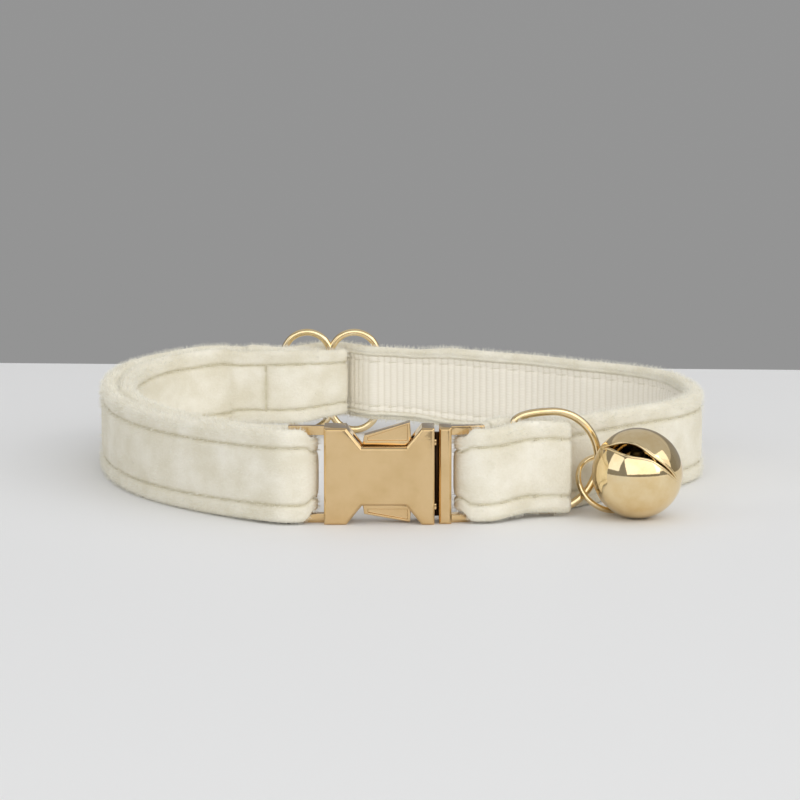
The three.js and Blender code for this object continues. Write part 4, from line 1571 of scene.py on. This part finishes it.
@dataclass
class ReleaseBuckle:
    """The die-cast side release buckle, with its edges rounded by tumbling and plating."""

    material: bpy.types.Material
    gap_shade_finish: bpy.types.Material
    workshop: Workshop
    edge: float = 0.14
    # Where the dark plate stands in the gap between socket and plug: painted shade for the shadow
    # there.
    gap_shade_box: tuple[tuple[float, float, float], tuple[float, float, float]] = (
        (4.68, -0.5, 0.9), (5.3, 0.5, 12.3))

    def build(self, nodes: dict[str, bpy.types.Object]) -> list[bpy.types.Object]:
        """Builds the buckle's four castings from their CAD solids.

        Args:
            nodes: The CAD nodes by name.

        Returns:
            The pieces.
        """
        names = {"buckle_socket": "socket_casting", "buckle_plug": "plug_casting",
                 "upper_release_lever": "upper_lever", "lower_release_lever": "lower_lever"}
        pieces = []
        for node, name in names.items():
            bm = self.workshop.node_copy(nodes[node])
            piece = self.workshop.finish(bm, name, self.material, "light_gold", (node,))
            soften(piece, self.edge if "lever" not in name else self.edge / 2)
            pieces.append(piece)
        return [*pieces, self._build_gap_shade()]

    def _build_gap_shade(self) -> bpy.types.Object:
        """Builds a dark plate in the gap beside the plug: painted shade, standing in for the shadow
        in that gap.
        """
        bm = bmesh.new()
        bmesh.ops.create_cube(bm, size=1)
        low, high = (Vector(corner) for corner in self.gap_shade_box)
        bmesh.ops.scale(bm, vec=high - low, verts=bm.verts)
        bmesh.ops.translate(bm, vec=(low + high) / 2, verts=bm.verts)
        return self.workshop.finish(bm, "painted_gap_shade", self.gap_shade_finish, "steel")


@dataclass(frozen=True)
class SoftLight:
    """A soft rectangular light.

    Attributes:
        name: Its name.
        size: Its width and height in millimetres.
        place: Where it hangs.
        watts: Its power.
        tint: Its colour as sRGB hex.
        mirrored: Whether it shows in bright metal.
    """

    name: str
    size: tuple[float, float]
    place: tuple[float, float, float]
    watts: float
    tint: str = "FFFFFF"
    mirrored: bool = True


@dataclass
class Studio:
    """The pale table, the grey wall behind it, soft lights, and the camera at eye level."""

    shift: Vector
    lights: tuple[SoftLight, ...] = (
        SoftLight("overhead_softbox", (2600, 2000), (200, 300, 950), 4.2),
        SoftLight("ceiling_bounce", (2600, 2000), (200, 300, 960), 4.4, mirrored=False),
        SoftLight("left_window", (500, 500), (-650, -250, 380), 0.8, "F6FAFF"),
        SoftLight("right_fill", (800, 600), (760, -260, 420), 1.3),
        SoftLight("front_softbox", (2400, 1200), (250, -1000, 660), 11.1),
    )
    lit: Vector = field(default_factory=lambda: Vector((0, 40, 5)))
    room_colour: str = "C8C8C8"
    room_strength: float = 0.45
    eye: Vector = field(default_factory=lambda: Vector((0, -466.05, 84.5)))
    look_down: float = 8.28
    lens: float = 157.05
    table_back: float = 155.4
    table_turn: float = -3.7
    wall_size: tuple[float, float] = (6000.0, 3000.0)
    wall_place: tuple[float, float, float] = (0.0, 1800.0, 200.0)
    table_side: float = 900.0

    def _plane(self, name: str, material: bpy.types.Material, size: tuple[float, float],
               place: Vector, turn: Euler) -> bpy.types.Object:
        """Adds a flat studio surface.

        Args:
            name: Its name.
            material: Its finish.
            size: Its width and depth in millimetres.
            place: Its middle.
            turn: How it is turned.

        Returns:
            The surface.
        """
        bm = bmesh.new()
        bmesh.ops.create_grid(bm, x_segments=1, y_segments=1, size=0.5)
        bmesh.ops.scale(bm, vec=(size[0], size[1], 1), verts=bm.verts)
        bmesh.ops.transform(bm, matrix=turn.to_matrix().to_4x4(), verts=bm.verts)
        bmesh.ops.translate(bm, vec=place + self.shift, verts=bm.verts)
        bmesh.ops.scale(bm, vec=(MM, MM, MM), verts=bm.verts)
        mesh = bpy.data.meshes.new(name)
        bm.to_mesh(mesh)
        bm.free()
        surface = bpy.data.objects.new(name, mesh)
        mesh.materials.append(material)
        bpy.context.scene.collection.objects.link(surface)
        return surface

    def _light(self, light: SoftLight) -> None:
        """Hangs a soft light and turns it to the collar."""
        data = bpy.data.lights.new(light.name, "AREA")
        data.shape = "RECTANGLE"
        data.size, data.size_y = light.size[0] * MM, light.size[1] * MM
        data.energy = light.watts
        data.color = srgb(light.tint)[:3]
        place = Vector(light.place)
        lamp = bpy.data.objects.new(light.name, data)
        lamp.location = (place + self.shift) * MM
        lamp.rotation_mode = "QUATERNION"
        lamp.rotation_quaternion = (self.lit - place).to_track_quat("-Z", "Y")
        lamp.visible_glossy = light.mirrored
        bpy.context.scene.collection.objects.link(lamp)

    def build(self) -> None:
        """Builds the set, hangs the lights and places the camera."""
        table = StudioFinish("white_table_top", "ECECEC").make()
        wall = StudioFinish("grey_painted_wall", "3A3A3A", 6.4).make()
        depth = self.table_back + self.table_side
        middle = (self.table_back - self.table_side) / 2
        self._plane("table", table, (2 * self.table_side, depth), Vector((0, middle, 0)),
                    Euler((0, 0, math.radians(self.table_turn))))
        self._plane("wall", wall, self.wall_size, Vector(self.wall_place), Euler((QUARTER, 0, 0)))
        for light in self.lights:
            self._light(light)
        world = bpy.data.worlds.new("studio_room")
        world.use_nodes = True
        room = world.node_tree.nodes["Background"]
        room.inputs["Color"].default_value = srgb(self.room_colour)
        room.inputs["Strength"].default_value = self.room_strength
        scene = bpy.context.scene
        scene.world = world
        scene.view_settings.view_transform = "Standard"
        data = bpy.data.cameras.new("eye")
        data.sensor_width = 36.0
        data.lens = self.lens
        data.clip_start, data.clip_end = 0.01, 20.0
        camera = bpy.data.objects.new("eye", data)
        camera.location = (self.eye + self.shift) * MM
        camera.rotation_euler = (QUARTER - math.radians(self.look_down), 0, 0)
        scene.collection.objects.link(camera)
        scene.camera = camera


def collar_shift(socket_right: float = 4.65) -> Vector:
    """Returns where the collar's own origin lies in the frame, read from the buckle's socket."""
    low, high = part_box("buckle_socket")
    return Vector((high.x / MM - socket_right, (low.y + high.y) / 2 / MM, 0))


def main() -> None:
    """Builds the collar's sub-assemblies round the frame and the studio about them."""
    logging.basicConfig(level=logging.INFO, format="%(name)s %(message)s")
    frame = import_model()
    shift = collar_shift()
    workshop = Workshop(shift)
    route = StrapRoute()
    velvet = VelvetFinish().make()
    webbing = WebbingFinish().make()
    thread = ThreadFinish().make()
    light_gold = PlatedFinish("light_gold_plated_zinc", "E6C796", "DDBD8A", 0.1).make()
    yellow_gold = PlatedFinish("yellow_gold_plated_steel", "F4DEB2", "EBCF9A", 0.06).make()
    steel = PlatedFinish("plain_steel", "A8A8A6", "8E8E8C", 0.3).make()
    # A dark brown finish for the plate in the buckle's gap: painted shade.
    gap_shade_finish = PlatedFinish("dark_gap_shade", "54402F", "3E2E22", 0.5).make()
    pale_thread = ThreadFinish("pale_polyester_thread", "EDE6D2", 0.5).make()

    # The fibres are coloured paler than the velvet face: a painted highlight, so the fuzz on the
    # rims reads bright.
    pile = ThreadFinish("velvet_fibre_painted_pale", "FFFCF0", 0.3).make()
    seam = route.length_inside(route.slide_run - route.sizes.seam_from_bar)
    cover = VelvetCover(route, velvet, pile, workshop, seam=seam)
    cover.build()
    cover.build_pile()
    WebbingLining(route, webbing, workshop).build()
    half = route.sizes.thickness / 2
    stitching = Stitching(route, thread, workshop)
    stitching.build_rows(half, "velvet_stitches", "velvet")
    back = -half - route.sizes.thread_proud
    Stitching(route, pale_thread, workshop).build_rows(back, "webbing_stitches", "webbing")
    stitching.build_seam(seam, half, "strap_seam")
    tab = StrapRoute(tab=True)
    tab_cover = VelvetCover(tab, velvet, pile, workshop, "tab_cover", "ring_tab")
    tab_cover.build()
    tab_cover.build_pile()
    tab_stitching = Stitching(tab, thread, workshop)
    tab_stitching.build_rows(-half, "tab_stitches", "velvet")
    tab_stitching.build_seam(tab.length - tab.sizes.tab_seam_from_end, -half, "tab_seam")
    ReleaseBuckle(light_gold, gap_shade_finish, workshop).build(frame["nodes"])
    AdjusterSlide(route, yellow_gold, workshop).build()
    ring = RingAndLink(route, yellow_gold, workshop)
    ring.build_ring()
    bell = JingleBell(yellow_gold, steel, workshop, ring)
    bell.build()
    ring.build_link(bell.loop_place)
    Studio(shift).build()


if __name__ == "__main__":
    main()
